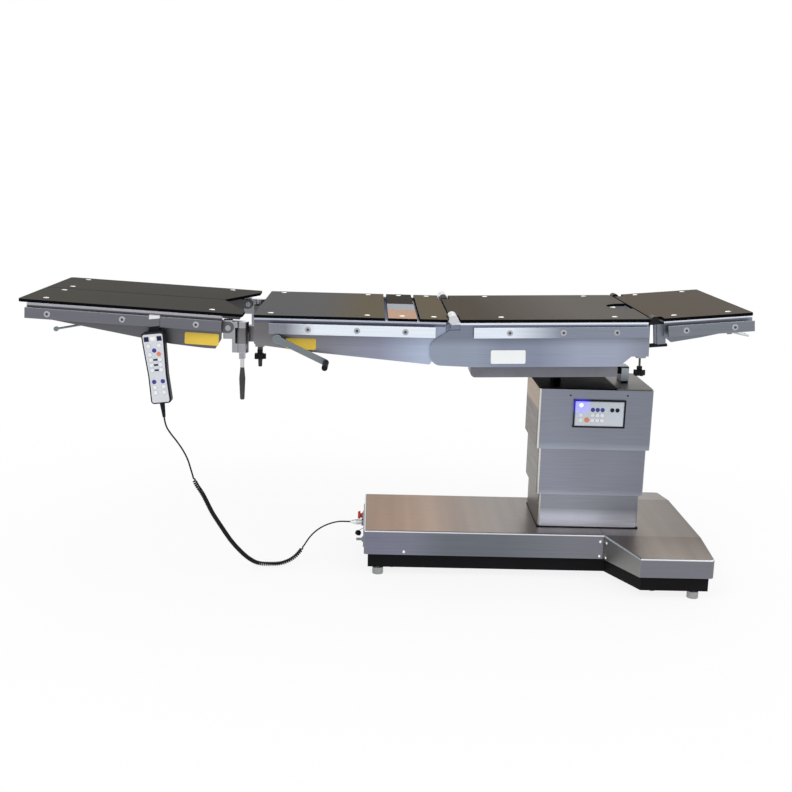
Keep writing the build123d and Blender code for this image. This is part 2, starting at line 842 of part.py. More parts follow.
def seat_side(side):
    outline = [(seat_left, -board_thick)] + [(x, -depth) for x, depth in seat_depths]
    outline.append((seat_right, -board_thick))
    plate = plate_y(outline, side * seat_plate_inner, side * seat_plate_outer)
    corner = [e for e in plate.edges().filter_by(Axis.Y) if e.center().Z < -guide_low - post_radius]
    plate = fillet([e for e in corner if e.center().X > seat_board_split or e.center().X < seat_rail_left],
                   board_corner)
    ledge = block(seat_left, seat_board_split, side * (seat_plate_inner - flange_width),
                  side * seat_plate_inner, -board_thick - flange_thick, -board_thick)
    small = block(seat_board_small, seat_right, side * (seat_plate_inner - flange_width),
                  side * seat_plate_inner, -board_thick - flange_thick, -board_thick)
    plate += ledge + small
    return plate


def seat_frame():
    parts = []
    for side in (-1, 1):
        plate = seat_side(side)
        if side < 0:
            plate -= rod_y(crank_x, -crank_depth, side * seat_plate_inner + overrun,
                           side * seat_plate_outer - overrun, crank_shaft_radius + running_clear)
        parts.append(plate)
        tube_right = seat_tubes[0] + tube_width
        knuckle = plate_y([(tube_right, -seat_tube_high), (tube_right, -seat_tube_low),
                           (-hinge_pin_radius, -barrel_radius), (-hinge_pin_radius, -hinge_pin_radius),
                           (-2 * barrel_radius, -board_thick - flange_thick)],
                          side * barrel_inner, side * (barrel_split - stack_gap))
        knuckle += rod_y(0, 0, side * barrel_inner, side * (barrel_split - stack_gap), barrel_radius)
        knuckle += rod_y(0, 0, side * (barrel_split - stack_gap), side * (barrel_outer - 2 * stack_gap),
                         hinge_pin_radius)
        parts.append(knuckle)
        boss_low = -seat_depth(seat_knob_x) - knob_boss_depth
        boss = block(seat_knob_x - knob_boss_half, seat_knob_x + knob_boss_half,
                     side * (knob_y - knob_boss_half), side * seat_plate_inner, boss_low,
                     boss_low + knob_boss_height)
        parts.append(boss - rod_z(seat_knob_x, side * knob_y, boss_low - overrun,
                                  boss_low + knob_boss_height - knob_boss_roof,
                                  knob_stem_radius + running_clear))
        eye = block(swing_x - arm_half, seat_tubes[-1], side * eye_arm_inner, side * eye_arm_outer,
                    -eye_low, -eye_high)
        eye += block(swing_x - arm_half, swing_x + arm_half, side * eye_arm_inner, side * swing_y,
                     -eye_low, -eye_high)
        eye += rod_z(swing_x, side * swing_y, -eye_low, -eye_high, swing_radius)
        parts.append(eye - rod_z(swing_x, side * swing_y, -eye_low - overrun, -eye_high + overrun,
                                 swing_pin_radius + running_clear))
    for x in seat_tubes:
        parts.append(tube_y(x, x + tube_width, seat_plate_inner, -seat_tube_low, -seat_tube_high))
    guide = block(guide_left, guide_right, -seat_plate_inner, seat_plate_inner, -guide_low,
                  -board_thick - bridge_plate - slide_clear)
    for side in (-1, 1):
        guide -= rod_z(post_x, side * post_y, -guide_low - overrun, 0, post_radius + running_clear)
    parts.append(guide)
    gearbox = block(crank_x - tube_width / 2, crank_x + tube_width / 2, -seat_plate_inner,
                    -seat_plate_inner + 2 * tube_width, -crank_depth - tube_width / 2,
                    -crank_depth + tube_width / 2)
    gearbox -= rod_y(crank_x, -crank_depth, -seat_plate_inner - overrun, -seat_plate_inner + tube_width,
                     crank_shaft_radius + running_clear)
    parts.append(gearbox)
    return parts


def seat_depth(x):
    """Depth of the seat plate's lower edge at x."""
    for (x0, d0), (x1, d1) in zip(seat_depths, seat_depths[1:]):
        if x0 <= x <= x1:
            return d0 + (d1 - d0) * (x - x0) / (x1 - x0)
    return seat_depths[0][1]


def seat_boards():
    long_board = block(seat_board_left, seat_board_split, -board_half, board_half, -board_thick, 0)
    long_board = round_edges(long_board, Axis.Z, board_corner)
    small = block(seat_board_small, seat_board_right, -board_half, board_half, -board_thick, 0)
    for side in (-1, 1):
        small -= block(-barrel_radius - 2 * stack_gap, seat_board_right + overrun,
                       side * (barrel_inner - barrel_radius), side * (board_half + overrun),
                       -board_thick - overrun, overrun)
    return [long_board, small]


def kidney_bridge():
    top = -board_thick
    plate = block(bridge_left, bridge_right, -seat_plate_inner + stack_gap, seat_plate_inner - stack_gap,
                  top - bridge_plate, top)
    strip = block(bridge_left, bridge_right, bridge_split_near, bridge_split_far, top, 0)
    posts = [rod_z(post_x, side * post_y, -post_depth, top - bridge_plate, post_radius) for side in (-1, 1)]
    return [plate, strip] + posts


def bridge_boards():
    near = block(bridge_left, bridge_right, -board_half, bridge_split_near, -board_thick, 0)
    far = block(bridge_left, bridge_right, bridge_split_far, board_half, -board_thick, 0)
    return [near, far]


def crank_arm():
    y0, y1 = -crank_arm_inner, -crank_arm_inner - crank_arm_thick
    arm = block(0, crank_arm_length, y0, y1, -crank_arm_width / 2, crank_arm_width / 2)
    arm += rod_y(0, 0, y0, y1, crank_hub_radius)
    arm += rod_y(crank_arm_length, 0, y0, y1, crank_arm_width / 2)
    arm += rod_y(0, 0, -seat_plate_inner + tube_width - stack_gap, y0, crank_shaft_radius)
    arm += rod_y(crank_arm_length, 0, y1, y1 - crank_grip_length + 2 * crank_grip_edge, crank_pin_radius)
    return Pos(crank_x, 0, -crank_depth) * Rot(0, crank_rest, 0) * arm


def crank_grip():
    y = -crank_arm_inner - crank_arm_thick - stack_gap
    grip = rod_y(crank_arm_length, 0, y, y - crank_grip_length, crank_grip_radius)
    grip = fillet(grip.edges().filter_by(GeomType.CIRCLE), crank_grip_edge)
    grip -= rod_y(crank_arm_length, 0, y + overrun, y - crank_grip_length + crank_grip_edge,
                  crank_pin_radius + running_clear)
    return Pos(crank_x, 0, -crank_depth) * Rot(0, crank_rest, 0) * grip


def star_knob(x, side, top, drop):
    """A lobed knob on its threaded stem, hanging from a boss whose lower face is at top."""
    y = side * knob_y
    low = top - drop - knob_height
    high = top - drop
    body = rod_z(x, y, low, high, knob_core_radius)
    for i in range(knob_lobes):
        a = 2 * pi * i / knob_lobes
        reach = knob_radius - knob_lobe_radius
        body += rod_z(x + reach * cos(a), y + reach * sin(a), low, high, knob_lobe_radius)
    body += rod_z(x, y, high, high + knob_neck, knob_neck_radius)
    stem_end = top + knob_boss_height - knob_boss_roof - knob_end_gap
    return body + rod_z(x, y, high + knob_neck, stem_end, knob_stem_radius)


# Leg sections, each written for the side it lies on

def leg_hinge(side):
    y0, y1 = side * (swing_y - arm_half), side * (swing_y + arm_half)
    spine_x = swing_x - swing_radius - slide_clear
    top_low, low_top = -eye_high + slide_clear, -eye_low - slide_clear
    body = rod_z(swing_x, side * swing_y, top_low, -swing_high, swing_radius)
    body += block(spine_x, swing_x, y0, y1, top_low, -swing_high)
    body += rod_z(swing_x, side * swing_y, -swing_low, low_top, swing_radius)
    body += block(spine_x, swing_x, y0, y1, -swing_low, low_top)
    body += rod_z(swing_x, side * swing_y, low_top, top_low, swing_pin_radius)
    body += block(spine_x - spine_thick, spine_x, y0, y1, -swing_low, -swing_high)
    body += block(bracket_left, spine_x - spine_thick, y0, y1, -bracket_low, -bracket_high)
    shaft_half = arm_half + stack_gap + leg_lug_thick
    body += rod_y(leg_axis_x, -leg_axis_depth, side * (swing_y - shaft_half),
                  side * (swing_y + shaft_half), leg_pin_radius)
    eye_half = lever_eye_thick / 2 + stack_gap
    for turn in (-1, 1):
        y = side * swing_y + turn * eye_half
        body += block(swing_x - lever_cheek_half, swing_x + lever_cheek_half, y, y + turn * lever_cheek,
                      -swing_low - lever_drop - lever_cheek_half, -swing_low)
    reach = eye_half + lever_cheek
    return body + rod_y(swing_x, -swing_low - lever_drop, side * swing_y - reach,
                        side * swing_y + reach, lever_pin_radius)


def leg_lever(side):
    y, z = side * swing_y, -swing_low - lever_drop
    lever = rod_y(swing_x, z, y - lever_eye_thick / 2, y + lever_eye_thick / 2, lever_eye_radius)
    lever += rod_z(swing_x, y, z - lever_shank, z, lever_shank_radius)
    upper, lower = lever_grip * lever_grip_share, lever_grip * (1 - lever_grip_share)
    grip = Pos(0, 0, upper / 2) * Cone(lever_grip_radius, lever_grip_top, upper)
    grip += Pos(0, 0, -lower / 2) * Cone(lever_grip_end, lever_grip_radius, lower)
    grip = fillet(grip.edges().filter_by(GeomType.CIRCLE).sort_by(Axis.Z)[0], lever_grip_edge)
    lever += Pos(swing_x, y, z - lever_shank - upper) * grip
    return lever - rod_y(swing_x, z, y - lever_eye_thick, y + lever_eye_thick,
                         lever_pin_radius + running_clear)


def leg_plate(side):
    """The side plate of a leg with the ledge that carries its board."""
    top = leg_rise - board_thick
    outline = [(leg_plate_right, top - stack_gap), (leg_plate_left, top - stack_gap),
               (leg_plate_left, leg_rise - leg_plate_end_depth)]
    outline += [(x, leg_rise - depth) for x, depth in leg_plate_depths]
    outline += [(leg_plate_low_right, leg_rise - leg_plate_depths[-1][1]),
                (leg_plate_right, leg_rise - leg_plate_edge_depth)]
    plate = plate_y(outline, side * frame_half, side * (frame_half + leg_plate_thick))
    return plate + block(leg_plate_left, leg_plate_right - leg_end_gap, side * (frame_half - flange_width),
                         side * frame_half, top - flange_thick, top)


def leg_lug(side, y, turn):
    """One of the two arms that turn on the leg's pitch shaft."""
    root = leg_tubes[0] + leg_tube_width
    y0, y1 = side * y, side * (y + turn * leg_lug_thick)
    arm = block(root, 0, y0, y1, -lug_end_radius, lug_end_radius)
    arm += block(root, root + leg_tube_width, y0, y1, -lug_end_radius, leg_rise - leg_tube_high)
    arm += rod_y(0, 0, y0, y1, lug_end_radius)
    low, high = min(y0, y1) - overrun, max(y0, y1) + overrun
    return arm - rod_y(0, 0, low, high, leg_pin_radius + running_clear)


def leg_frame(side):
    parts = [leg_plate(side)]
    high, low = leg_rise - leg_tube_high, leg_rise - leg_tube_low
    parts += [block(x, x + leg_tube_width, side * leg_inner_gap, side * frame_half, low, high)
              for x in leg_tubes]
    parts += [leg_lug(side, swing_y + turn * (arm_half + stack_gap), turn) for turn in (-1, 1)]
    bar_outer = leg_inner_gap + leg_inner_bar
    parts += [block(left + leg_tube_width, right, side * leg_inner_gap, side * bar_outer, low, high)
              for left, right in zip(leg_tubes[1:], leg_tubes)]
    parts.append(block(release_x - rod_block / 2, release_x + rod_block / 2, side * bar_outer,
                       side * frame_half, low, high))
    for turn in (-1, 1):
        y = side * release_y + turn * (rod_hub_radius + stack_gap)
        ear = block(release_x - rod_hub_radius, release_x + rod_hub_radius, y, y + turn * flange_thick,
                    leg_rise - rod_depth - rod_hub_radius, low)
        parts.append(ear - rod_y(release_x, leg_rise - rod_depth, y - turn * overrun,
                                 y + turn * (overrun + flange_thick), rod_radius + running_clear))
    return parts


def leg_board(side):
    plan = [(leg_board_left, leg_gap), (leg_cut_left, leg_gap), (leg_cut_right, leg_cut_half),
            (leg_board_right, leg_cut_half), (leg_board_right, board_half), (leg_board_left, board_half)]
    points = [(x, side * y) for x, y in plan]
    board = plate_z(points if side > 0 else points[::-1], leg_rise - board_thick, leg_rise)
    corner = [e for e in board.edges().filter_by(Axis.Z)
              if e.center().X < leg_cut_left - overrun and abs(e.center().Y) > leg_cut_half]
    return fillet(corner, leg_board_round)


def leg_release_rod(side):
    """A thin rod on a hub that turns between two ears."""
    hub_reach = rod_hub_radius + stack_gap + flange_thick
    z = leg_rise - rod_depth
    hub = rod_y(release_x, z, side * release_y - rod_hub_radius, side * release_y + rod_hub_radius,
                rod_hub_radius)
    hub += rod_y(release_x, z, side * release_y - hub_reach, side * release_y + hub_reach, rod_radius)
    bar = rod_x(side * release_y, 0, -rod_length, 0, rod_radius)
    bar += rod_y(-rod_length, 0, side * release_y - rod_radius, side * release_y + rod_radius, rod_ring_radius)
    return hub + Pos(release_x, 0, z) * Rot(0, -rod_slope, 0) * bar


# Head section, Z from its pivot

def head_z(depth):
    return head_pivot_depth - depth


def head_frame():
    parts = []
    high = head_z(board_thick)
    for side in (-1, 1):
        outline = [(head_plate_left, high - stack_gap), (head_plate_right, high - stack_gap)]
        outline += [(x, head_z(depth)) for x, depth in head_depths]
        y0 = head_knuckle_split + overrun
        plate = plate_y(outline, side * y0, side * (y0 + head_plate_thick))
        plate += block(head_block_right + stack_gap, head_plate_right, side * (y0 - flange_width), side * y0,
                       high - flange_thick, high)
        parts.append(plate)
        arm = plate_y([(head_block_left, head_z(head_block_high)), (head_block_right, head_z(head_block_high)),
                       (head_pin_radius, head_pin_radius), (-head_pin_radius, -head_knuckle_radius)],
                      side * head_knuckle_inner, side * head_knuckle_split)
        arm += rod_y(0, 0, side * head_knuckle_inner, side * head_knuckle_split, head_knuckle_radius)
        arm += rod_y(0, 0, side * head_knuckle_split, side * (head_knuckle_outer - stack_gap), head_pin_radius)
        arm -= block(head_block_left - overrun, head_block_right + overrun, side * (head_knuckle_inner - overrun),
                     side * (head_knuckle_split + overrun), head_z(head_block_low),
                     head_z(head_block_high))
        parts.append(arm)
        stem = block(head_block_left, head_block_right, side * head_knuckle_inner, side * head_knuckle_split,
                     head_z(head_block_low), head_z(head_block_high))
        stem += block(head_block_left + head_block_relief, head_block_right, side * head_knuckle_split,
                      side * y0, head_z(head_block_low), head_z(head_block_high))
        parts.append(stem)
        parts.append(block(head_clamp_left, head_clamp_right, side * head_knuckle_inner, side * y0,
                           head_z(head_block_low + head_clamp), head_z(head_block_low)))
    y0 = head_knuckle_split + overrun
    for x in head_tubes:
        parts.append(tube_y(x, x + tube_width, y0, head_z(head_tube_low), high - flange_thick))
    pivot_z = head_z(loop_pivot_depth)
    for side in (-1, 1):
        y = side * (loop_half + loop_hub_radius)
        ear = block(loop_pivot_x - loop_hub_radius, loop_pivot_x + loop_hub_radius, y, y + side * loop_ear,
                    pivot_z - loop_hub_radius, head_z(head_tube_low))
        parts.append(ear - rod_y(loop_pivot_x, pivot_z, y - side * overrun, y + side * (loop_ear + overrun),
                                 loop_radius + running_clear))
    return parts


def head_board():
    high = head_z(0)
    board = block(head_board_left, head_board_right, -board_half, board_half, high - board_thick, high)
    for side in (-1, 1):
        board -= block(head_board_left - overrun, head_notch_x, side * head_notch_half,
                       side * (board_half + overrun), high - board_thick - overrun, high + overrun)
    corner = [e for e in board.edges().filter_by(Axis.Z) if e.center().X > head_notch_x + overrun]
    return fillet(corner, board_corner)


def head_release_loop():
    """A wire hairpin near each side, both on one cross rod that turns."""
    x0, z0 = loop_pivot_x, head_z(loop_pivot_depth)
    x1, z1 = loop_end_x, head_z(loop_end_depth)
    reach = loop_half + loop_hub_radius + loop_ear
    length, slope = hypot(x1 - x0, z1 - z0), degrees(atan2(z0 - z1, x1 - x0))
    loop = rod_y(x0, z0, -reach, reach, loop_radius)
    for side in (-1, 1):
        loop += rod_y(x1, z1, side * loop_inner, side * loop_half, loop_radius)
        for half in (loop_inner, loop_half):
            leg = rod_x(side * half, 0, 0, length, loop_radius)
            loop += Pos(x0, 0, z0) * Rot(0, slope, 0) * leg
            loop += Pos(x1, side * half, z1) * Sphere(loop_radius)
    return loop


# Handset, in the frame of the near leg

def handset():
    back = -(rail_outer + slide_clear + hook_sheet)
    stations = [(w, -handset_length * s) for w, s in zip(handset_half_widths, handset_stations_share)]
    outline = [(-w, z) for w, z in stations] + [(w, z) for w, z in reversed(stations)]
    shell = plate_y(outline, back, back - handset_thick)
    corner = [e for e in shell.edges().filter_by(Axis.Y)
              if e.center().Z > -overrun or e.center().Z < overrun - handset_length]
    shell = fillet(corner, handset_corner)
    front = shell.faces().sort_by(Axis.Y)[0]
    shell = fillet(front.edges(), handset_edge)
    middle = back - handset_thick / 2
    relief = Pos(0, middle, -handset_length - relief_length / 2) * Cone(relief_end_radius, relief_top_radius,
                                                                      relief_length)
    leaned = Pos(handset_x, 0, handset_top) * Rot(0, -handset_lean, 0)
    rail_high = leg_rise - rail_drop
    x0, x1 = handset_x - hook_half, handset_x + hook_half
    seat = rail_high + slide_clear
    strap = block(x0, x1, back, back + hook_sheet, handset_top - hook_tail, seat + hook_sheet)
    tip = -(rail_inner - slide_clear)
    strap += block(x0, x1, back, tip + hook_sheet, seat, seat + hook_sheet)
    strap += block(x0, x1, tip, tip + hook_sheet, seat - hook_drop, seat)
    return [leaned * shell, leaned * relief, strap]


# Cord, in the frame of the base

def rounded_route(points):
    """Straight runs joined by tangent arcs, each as large as its two runs allow."""
    bends, largest = [], []
    for a, b, c in zip(points, points[1:], points[2:]):
        u, v = Vector(*b) - Vector(*a), Vector(*c) - Vector(*b)
        turn = radians(u.get_angle(v))
        bends.append(run_share * min(u.length, v.length) / tan(turn / 2))
        largest.append(max(u.length, v.length))
    print("  radii", [round(r) for r in bends])
    return FilletPolyline(*points, radius=bends) if len(bends) > 0 else Polyline(*points)


def tube(points, radius):
    path = rounded_route(points)
    start = Plane(origin=path @ 0, z_dir=path % 0)
    swept = sweep(start * Circle(radius), path=path)
    print("  length", round(path.length, 1), "volume share", round(swept.volume / (pi * radius ** 2 * path.length), 4))
    return swept


def middle_of(a, b):
    return tuple((p + q) / 2 for p, q in zip(a, b))


def steady_frames(path, shares):
    """Places along a path, each with a frame that doesn't twist about it."""
    frames = []
    along = path % 0
    side = along.cross(Vector(0, 0, 1)).normalized()
    for share in shares:
        place, ahead = path @ share, (path % share).normalized()
        if frames:
            step = place - frames[-1][0]
            side = mirrored(side, step)
            side = mirrored(side, ahead - mirrored(along, step))
        side = (side - ahead * side.dot(ahead)).normalized()
        frames.append((place, ahead, side, ahead.cross(side)))
        along = ahead
    return frames


def mirrored(v, normal):
    """A direction mirrored across the plane that a normal stands on."""
    size = normal.dot(normal)
    return v - normal * (2 * normal.dot(v) / size) if size > 0 else v


def curl_places(path):
    """Points of the curls with their directions; the curls grow out of the middle at both ends."""
    count = curl_count * curl_steps
    ends = [min(i, count - i) / curl_steps / curl_settle for i in range(count + 1)]
    rises = [1 + curl_ease_share * max(0, 1 - (a + b) / 2) for a, b in zip(ends, ends[1:])]
    shares = [sum(rises[:i]) / sum(rises) for i in range(count + 1)]
    reach = curl_radius - wire_radius
    places = []
    for i, (place, ahead, side, other) in enumerate(steady_frames(path, shares)):
        share = min(1, ends[i])
        out = reach * share ** 2 * (3 - 2 * share)
        growth = reach * 6 * share * (1 - share) / curl_settle * (1 if 2 * i < count else -1)
        rise = path.length * curl_steps / sum(rises) * (1 + curl_ease_share * (1 - share))
        angle = 2 * pi * i / curl_steps
        outward = side * cos(angle) + other * sin(angle)
        onward = other * cos(angle) - side * sin(angle)
        heading = ahead * rise + onward * (2 * pi * out) + outward * growth
        places.append((place + outward * out, heading.normalized()))
    return places


def biarc(a, u, b, v):
    """Two arcs that join a to b, along u at a and along v at b."""
    span = b - a
    along = span.dot(u + v)
    turn = 2 * (1 - u.dot(v))
    reach = (sqrt(along ** 2 + turn * span.dot(span)) - along) / turn
    leave, arrive = a + u * reach, b - v * reach
    middle = (leave + arrive) / 2
    return [Edge.make_tangent_arc(a, u, middle), Edge.make_tangent_arc(middle, arrive - leave, b)]


def curls(points):
    """The curly part of the cord: a helix round the route with a short straight run at each end."""
    path = rounded_route(points)
    end_share = 2 * wire_radius / path.length
    inner = path.trim(end_share, 1 - end_share)
    places = curl_places(inner)
    arcs = [arc for (a, u), (b, v) in zip(places, places[1:]) for arc in biarc(a, u, b, v)]
    line = Wire([Line(path @ 0, inner @ 0), *arcs, Line(inner @ 1, path @ 1)])
    swept = sweep(Plane(origin=path @ 0, z_dir=path % 0) * Circle(wire_radius), path=line)
    samples = [tuple(arc @ (i / gap_samples)) for arc in arcs for i in range(gap_samples)]
    half_turn = curl_steps * gap_samples
    nearest = min(dist(samples[i], samples[j]) for i in range(len(samples))
                  for j in range(i + half_turn, len(samples)))
    print("  length", round(path.length, 1), "wire", round(line.length), "curls", curl_count)
    print("  tightest arc", round(min(arc.radius for arc in arcs), 2),
          "least gap to itself", round(nearest - 2 * wire_radius, 2),
          "volume share", round(swept.volume / (pi * wire_radius ** 2 * line.length), 4))
    return swept


def cord_start():
    """Where the cord leaves the handset's strain relief, and a point straight beyond it."""
    y = -(rail_outer + slide_clear + hook_sheet) - handset_thick / 2
    places = []
    for reach in (0, cord_first_run):
        x, z = turned(0, -handset_length - relief_length - reach, -handset_lean)
        x, z = turned(handset_x + x, handset_top + z, leg_rest)
        places.append((leg_place[0] + x, y, leg_place[1] + z))
    return places


def connector():
    face = plinth_left - panel_thick
    barrel = rod_x(socket_y, socket_z, face - plug_barrel, face, plug_radius)
    taper = Cone(plug_radius, relief_end_radius, plug_taper)
    return barrel + Pos(face - plug_barrel - plug_taper / 2, socket_y, socket_z) * Rot(0, -90, 0) * taper


# Places of the sections

hinge_place = turned(-hinge_reach, board_rise, -table_rest)
hinge_place = (hinge_place[0], pitch_height + hinge_place[1])
leg_offset = turned(leg_axis_x, -leg_axis_depth, -seat_rest)
leg_place = (hinge_place[0] + leg_offset[0], hinge_place[1] + leg_offset[1])
head_offset = turned(head_pivot_x, -head_pivot_depth, -table_rest)
head_place = (hinge_place[0] + head_offset[0], hinge_place[1] + head_offset[1])
base_at = Location()
saddle_at = Pos(0, 0, pitch_height) * Rot(0, -table_rest, 0)
back_at = Pos(hinge_place[0], 0, hinge_place[1]) * Rot(0, -table_rest, 0)
seat_at = Pos(hinge_place[0], 0, hinge_place[1]) * Rot(0, -seat_rest, 0)
leg_at = Pos(leg_place[0], 0, leg_place[1]) * Rot(0, leg_rest, 0)
head_at = Pos(head_place[0], 0, head_place[1]) * Rot(0, -head_rest, 0)

# The nodes: name, solids and place
nodes = {}


def add(name, solids, place=base_at):
    solids = solids if isinstance(solids, list) else [solids]
    nodes[name] = [place * s for s in solids]


add("base_skirt", skirt())
add("plinth_cover", plinth_cover())
add("foot_cover", foot_cover())
add("base_chassis", chassis())
add("lock_feet", lock_feet())
for label, (x, y) in zip(("left_front", "left_rear", "right_front", "right_rear"), caster_places):
    add("caster_fork_" + label, caster_fork(x, y))
    add("caster_wheel_" + label, caster_wheel(x, y))
add("end_panel", end_panel())
add("stop_button", stop_button())
add("power_pack", power_pack())
add("lift_cylinder", lift_cylinder())
add("lift_ram", rod_z(0, 0, ram_bottom, cap_top - cap_thick, cylinder_bore - running_clear))
add("lower_shroud", shroud(lower_length, lower_width, base_top, lower_top))
add("middle_shroud", [shroud(middle_length, middle_width, middle_bottom, middle_top)]
    + guides(lower_length, lower_width, middle_length, middle_width, middle_bottom))
add("upper_shroud", [shroud(upper_length, upper_width, upper_bottom, upper_top)]
    + guides(middle_length, middle_width, upper_length, upper_width, upper_bottom))
add("column_cap", column_cap())
add("control_panel", control_panel())
add("roll_cradle", roll_cradle())
add("pitch_saddle", saddle(), saddle_at)
add("back_frame", back_frame(), back_at)
add("back_board", back_board(), back_at)
add("seat_frame", seat_frame(), seat_at)
add("seat_boards", seat_boards(), seat_at)
add("kidney_bridge", kidney_bridge(), seat_at)
add("bridge_boards", bridge_boards(), seat_at)
add("crank_arm", crank_arm(), seat_at)
add("crank_grip", crank_grip(), seat_at)
add("head_frame", head_frame(), head_at)
add("head_board", head_board(), head_at)
add("head_release_loop", head_release_loop(), head_at)
plate_outers = {"back": frame_half + back_plate_thick, "seat": seat_plate_outer,
                "head": head_knuckle_split + overrun + head_plate_thick}
add("back_rails", [s for side in (-1, 1) for s in rails(back_rail_left, back_rail_right, back_bolts,
                                                       plate_outers["back"], side)], back_at)
add("seat_rails", [s for side in (-1, 1) for s in rails(seat_rail_left, seat_rail_right, seat_bolts,
                                                       plate_outers["seat"], side)], seat_at)
head_rail_at = head_at * Pos(0, 0, head_pivot_depth)
add("head_rails", [s for side in (-1, 1) for s in rails(head_rail_left, head_rail_right, head_bolts,
                                                       plate_outers["head"], side)], head_rail_at)
leg_rail_at = leg_at * Pos(0, 0, leg_rise)
for label, side in sides:
    add("back_knob_" + label, star_knob(back_knob_x, side, -back_end_depth - knob_boss_depth,
                                        back_knob_drop), back_at)
    add("seat_knob_" + label, star_knob(seat_knob_x, side, -seat_depth(seat_knob_x) - knob_boss_depth,
                                        seat_knob_drop), seat_at)
    add("leg_hinge_" + label, leg_hinge(side), seat_at)
    add("leg_lever_" + label, leg_lever(side), seat_at)
    add("leg_frame_" + label, leg_frame(side), leg_at)
    add("leg_board_" + label, leg_board(side), leg_at)
    add("leg_rail_" + label, rails(leg_plate_left, leg_plate_right, leg_bolts,
                                   frame_half + leg_plate_thick, side), leg_rail_at)
    add("leg_release_rod_" + label, leg_release_rod(side), leg_at)
add("handset", handset(), leg_at)

start_points = cord_start()
upper_end = middle_of(upper_route[-1], curl_route[0])
curl_end = middle_of(curl_route[-1], lower_route[0])
plug_end = (plinth_left - panel_thick - plug_barrel - plug_taper, socket_y, socket_z)
plug_approach = (plug_end[0] - cord_last_run, socket_y, socket_z)
print("cord_upper_lead")
add("cord_upper_lead", tube([*start_points, *upper_route, upper_end], wire_radius))
print("cord_curls")
add("cord_curls", curls([upper_end, *curl_route, curl_end]))
print("cord_lower_lead")
add("cord_lower_lead", tube([curl_end, *lower_route, plug_approach, plug_end], wire_radius))
add("cord_connector", connector())

# The origin lies on the floor under the middle of the table's box, the cord left out
table_boxes = [Compound(solids).bounding_box() for name, solids in nodes.items()
               if not name.startswith("cord_")]
shift_x = -(min(b.min.X for b in table_boxes) + max(b.max.X for b in table_boxes)) / 2
shift_y = -(min(b.min.Y for b in table_boxes) + max(b.max.Y for b in table_boxes)) / 2

os.makedirs("parts", exist_ok=True)
for name, solids in nodes.items():
    moved = [Pos(shift_x, shift_y, 0) * s for s in solids]
    export_step(moved[0] if len(moved) == 1 else Compound(moved), "parts/" + name + ".step")
print(len(nodes), "nodes, shift", round(shift_x, 2), round(shift_y, 2))
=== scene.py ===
import bpy
import bmesh
import json
from math import cos, pi, radians, sin
from mathutils import Matrix, Vector

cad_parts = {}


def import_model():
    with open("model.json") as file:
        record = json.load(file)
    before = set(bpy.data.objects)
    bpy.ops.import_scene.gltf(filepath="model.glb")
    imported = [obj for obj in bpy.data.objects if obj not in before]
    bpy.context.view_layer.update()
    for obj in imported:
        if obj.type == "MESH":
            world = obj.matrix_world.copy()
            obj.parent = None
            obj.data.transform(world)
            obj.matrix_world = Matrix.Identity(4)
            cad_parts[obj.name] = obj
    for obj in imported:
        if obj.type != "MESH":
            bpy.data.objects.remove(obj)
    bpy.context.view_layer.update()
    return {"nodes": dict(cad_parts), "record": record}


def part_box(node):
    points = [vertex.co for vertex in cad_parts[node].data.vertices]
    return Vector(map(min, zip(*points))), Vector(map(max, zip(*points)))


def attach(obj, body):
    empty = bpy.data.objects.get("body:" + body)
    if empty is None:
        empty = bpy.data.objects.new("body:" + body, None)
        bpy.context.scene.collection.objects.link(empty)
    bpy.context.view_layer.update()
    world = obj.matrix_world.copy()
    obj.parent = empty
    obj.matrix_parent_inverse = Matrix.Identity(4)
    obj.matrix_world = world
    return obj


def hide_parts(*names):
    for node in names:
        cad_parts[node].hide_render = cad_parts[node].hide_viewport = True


# Operating table, in metres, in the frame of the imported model: X from the leg end to the head
# end, Y from the near side to the far side, Z up. Values in thousandths are written with mm.

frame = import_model()
joints = {joint["name"]: joint for joint in frame["record"]["behaviour"]["joints"]}
nodes = frame["nodes"]
mm = 0.001

# Axes that the sections turn on, and how far each section leans at rest
column_low, column_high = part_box("lower_shroud")
column_x = (column_low[0] + column_high[0]) / 2
column_y = (column_low[1] + column_high[1]) / 2
hinge_x, _, hinge_z = joints["seat_flex"]["pos_m"]
leg_x, _, leg_z = joints["leg_pitch_front"]["pos_m"]
head_x, _, head_z = joints["head_tilt"]["pos_m"]
back_lean = -1.69
leg_lean = 2.63
head_lean = -5.34
leg_rise = 40 * mm
head_rise = 4 * mm
sides = (("front", -1), ("rear", 1))

# Outer faces that small pieces sit on
rail_face = 301 * mm
rail_depth = 32.75 * mm
back_face = 284 * mm
seat_face = 275 * mm
leg_face = 281 * mm
plinth_face = 182.5 * mm
base_top = 138 * mm
steel_bottom = 66 * mm
panel_face = -661 * mm
upper_face = 130.5 * mm
upper_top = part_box("upper_shroud")[1][2]
proud = 0.3 * mm

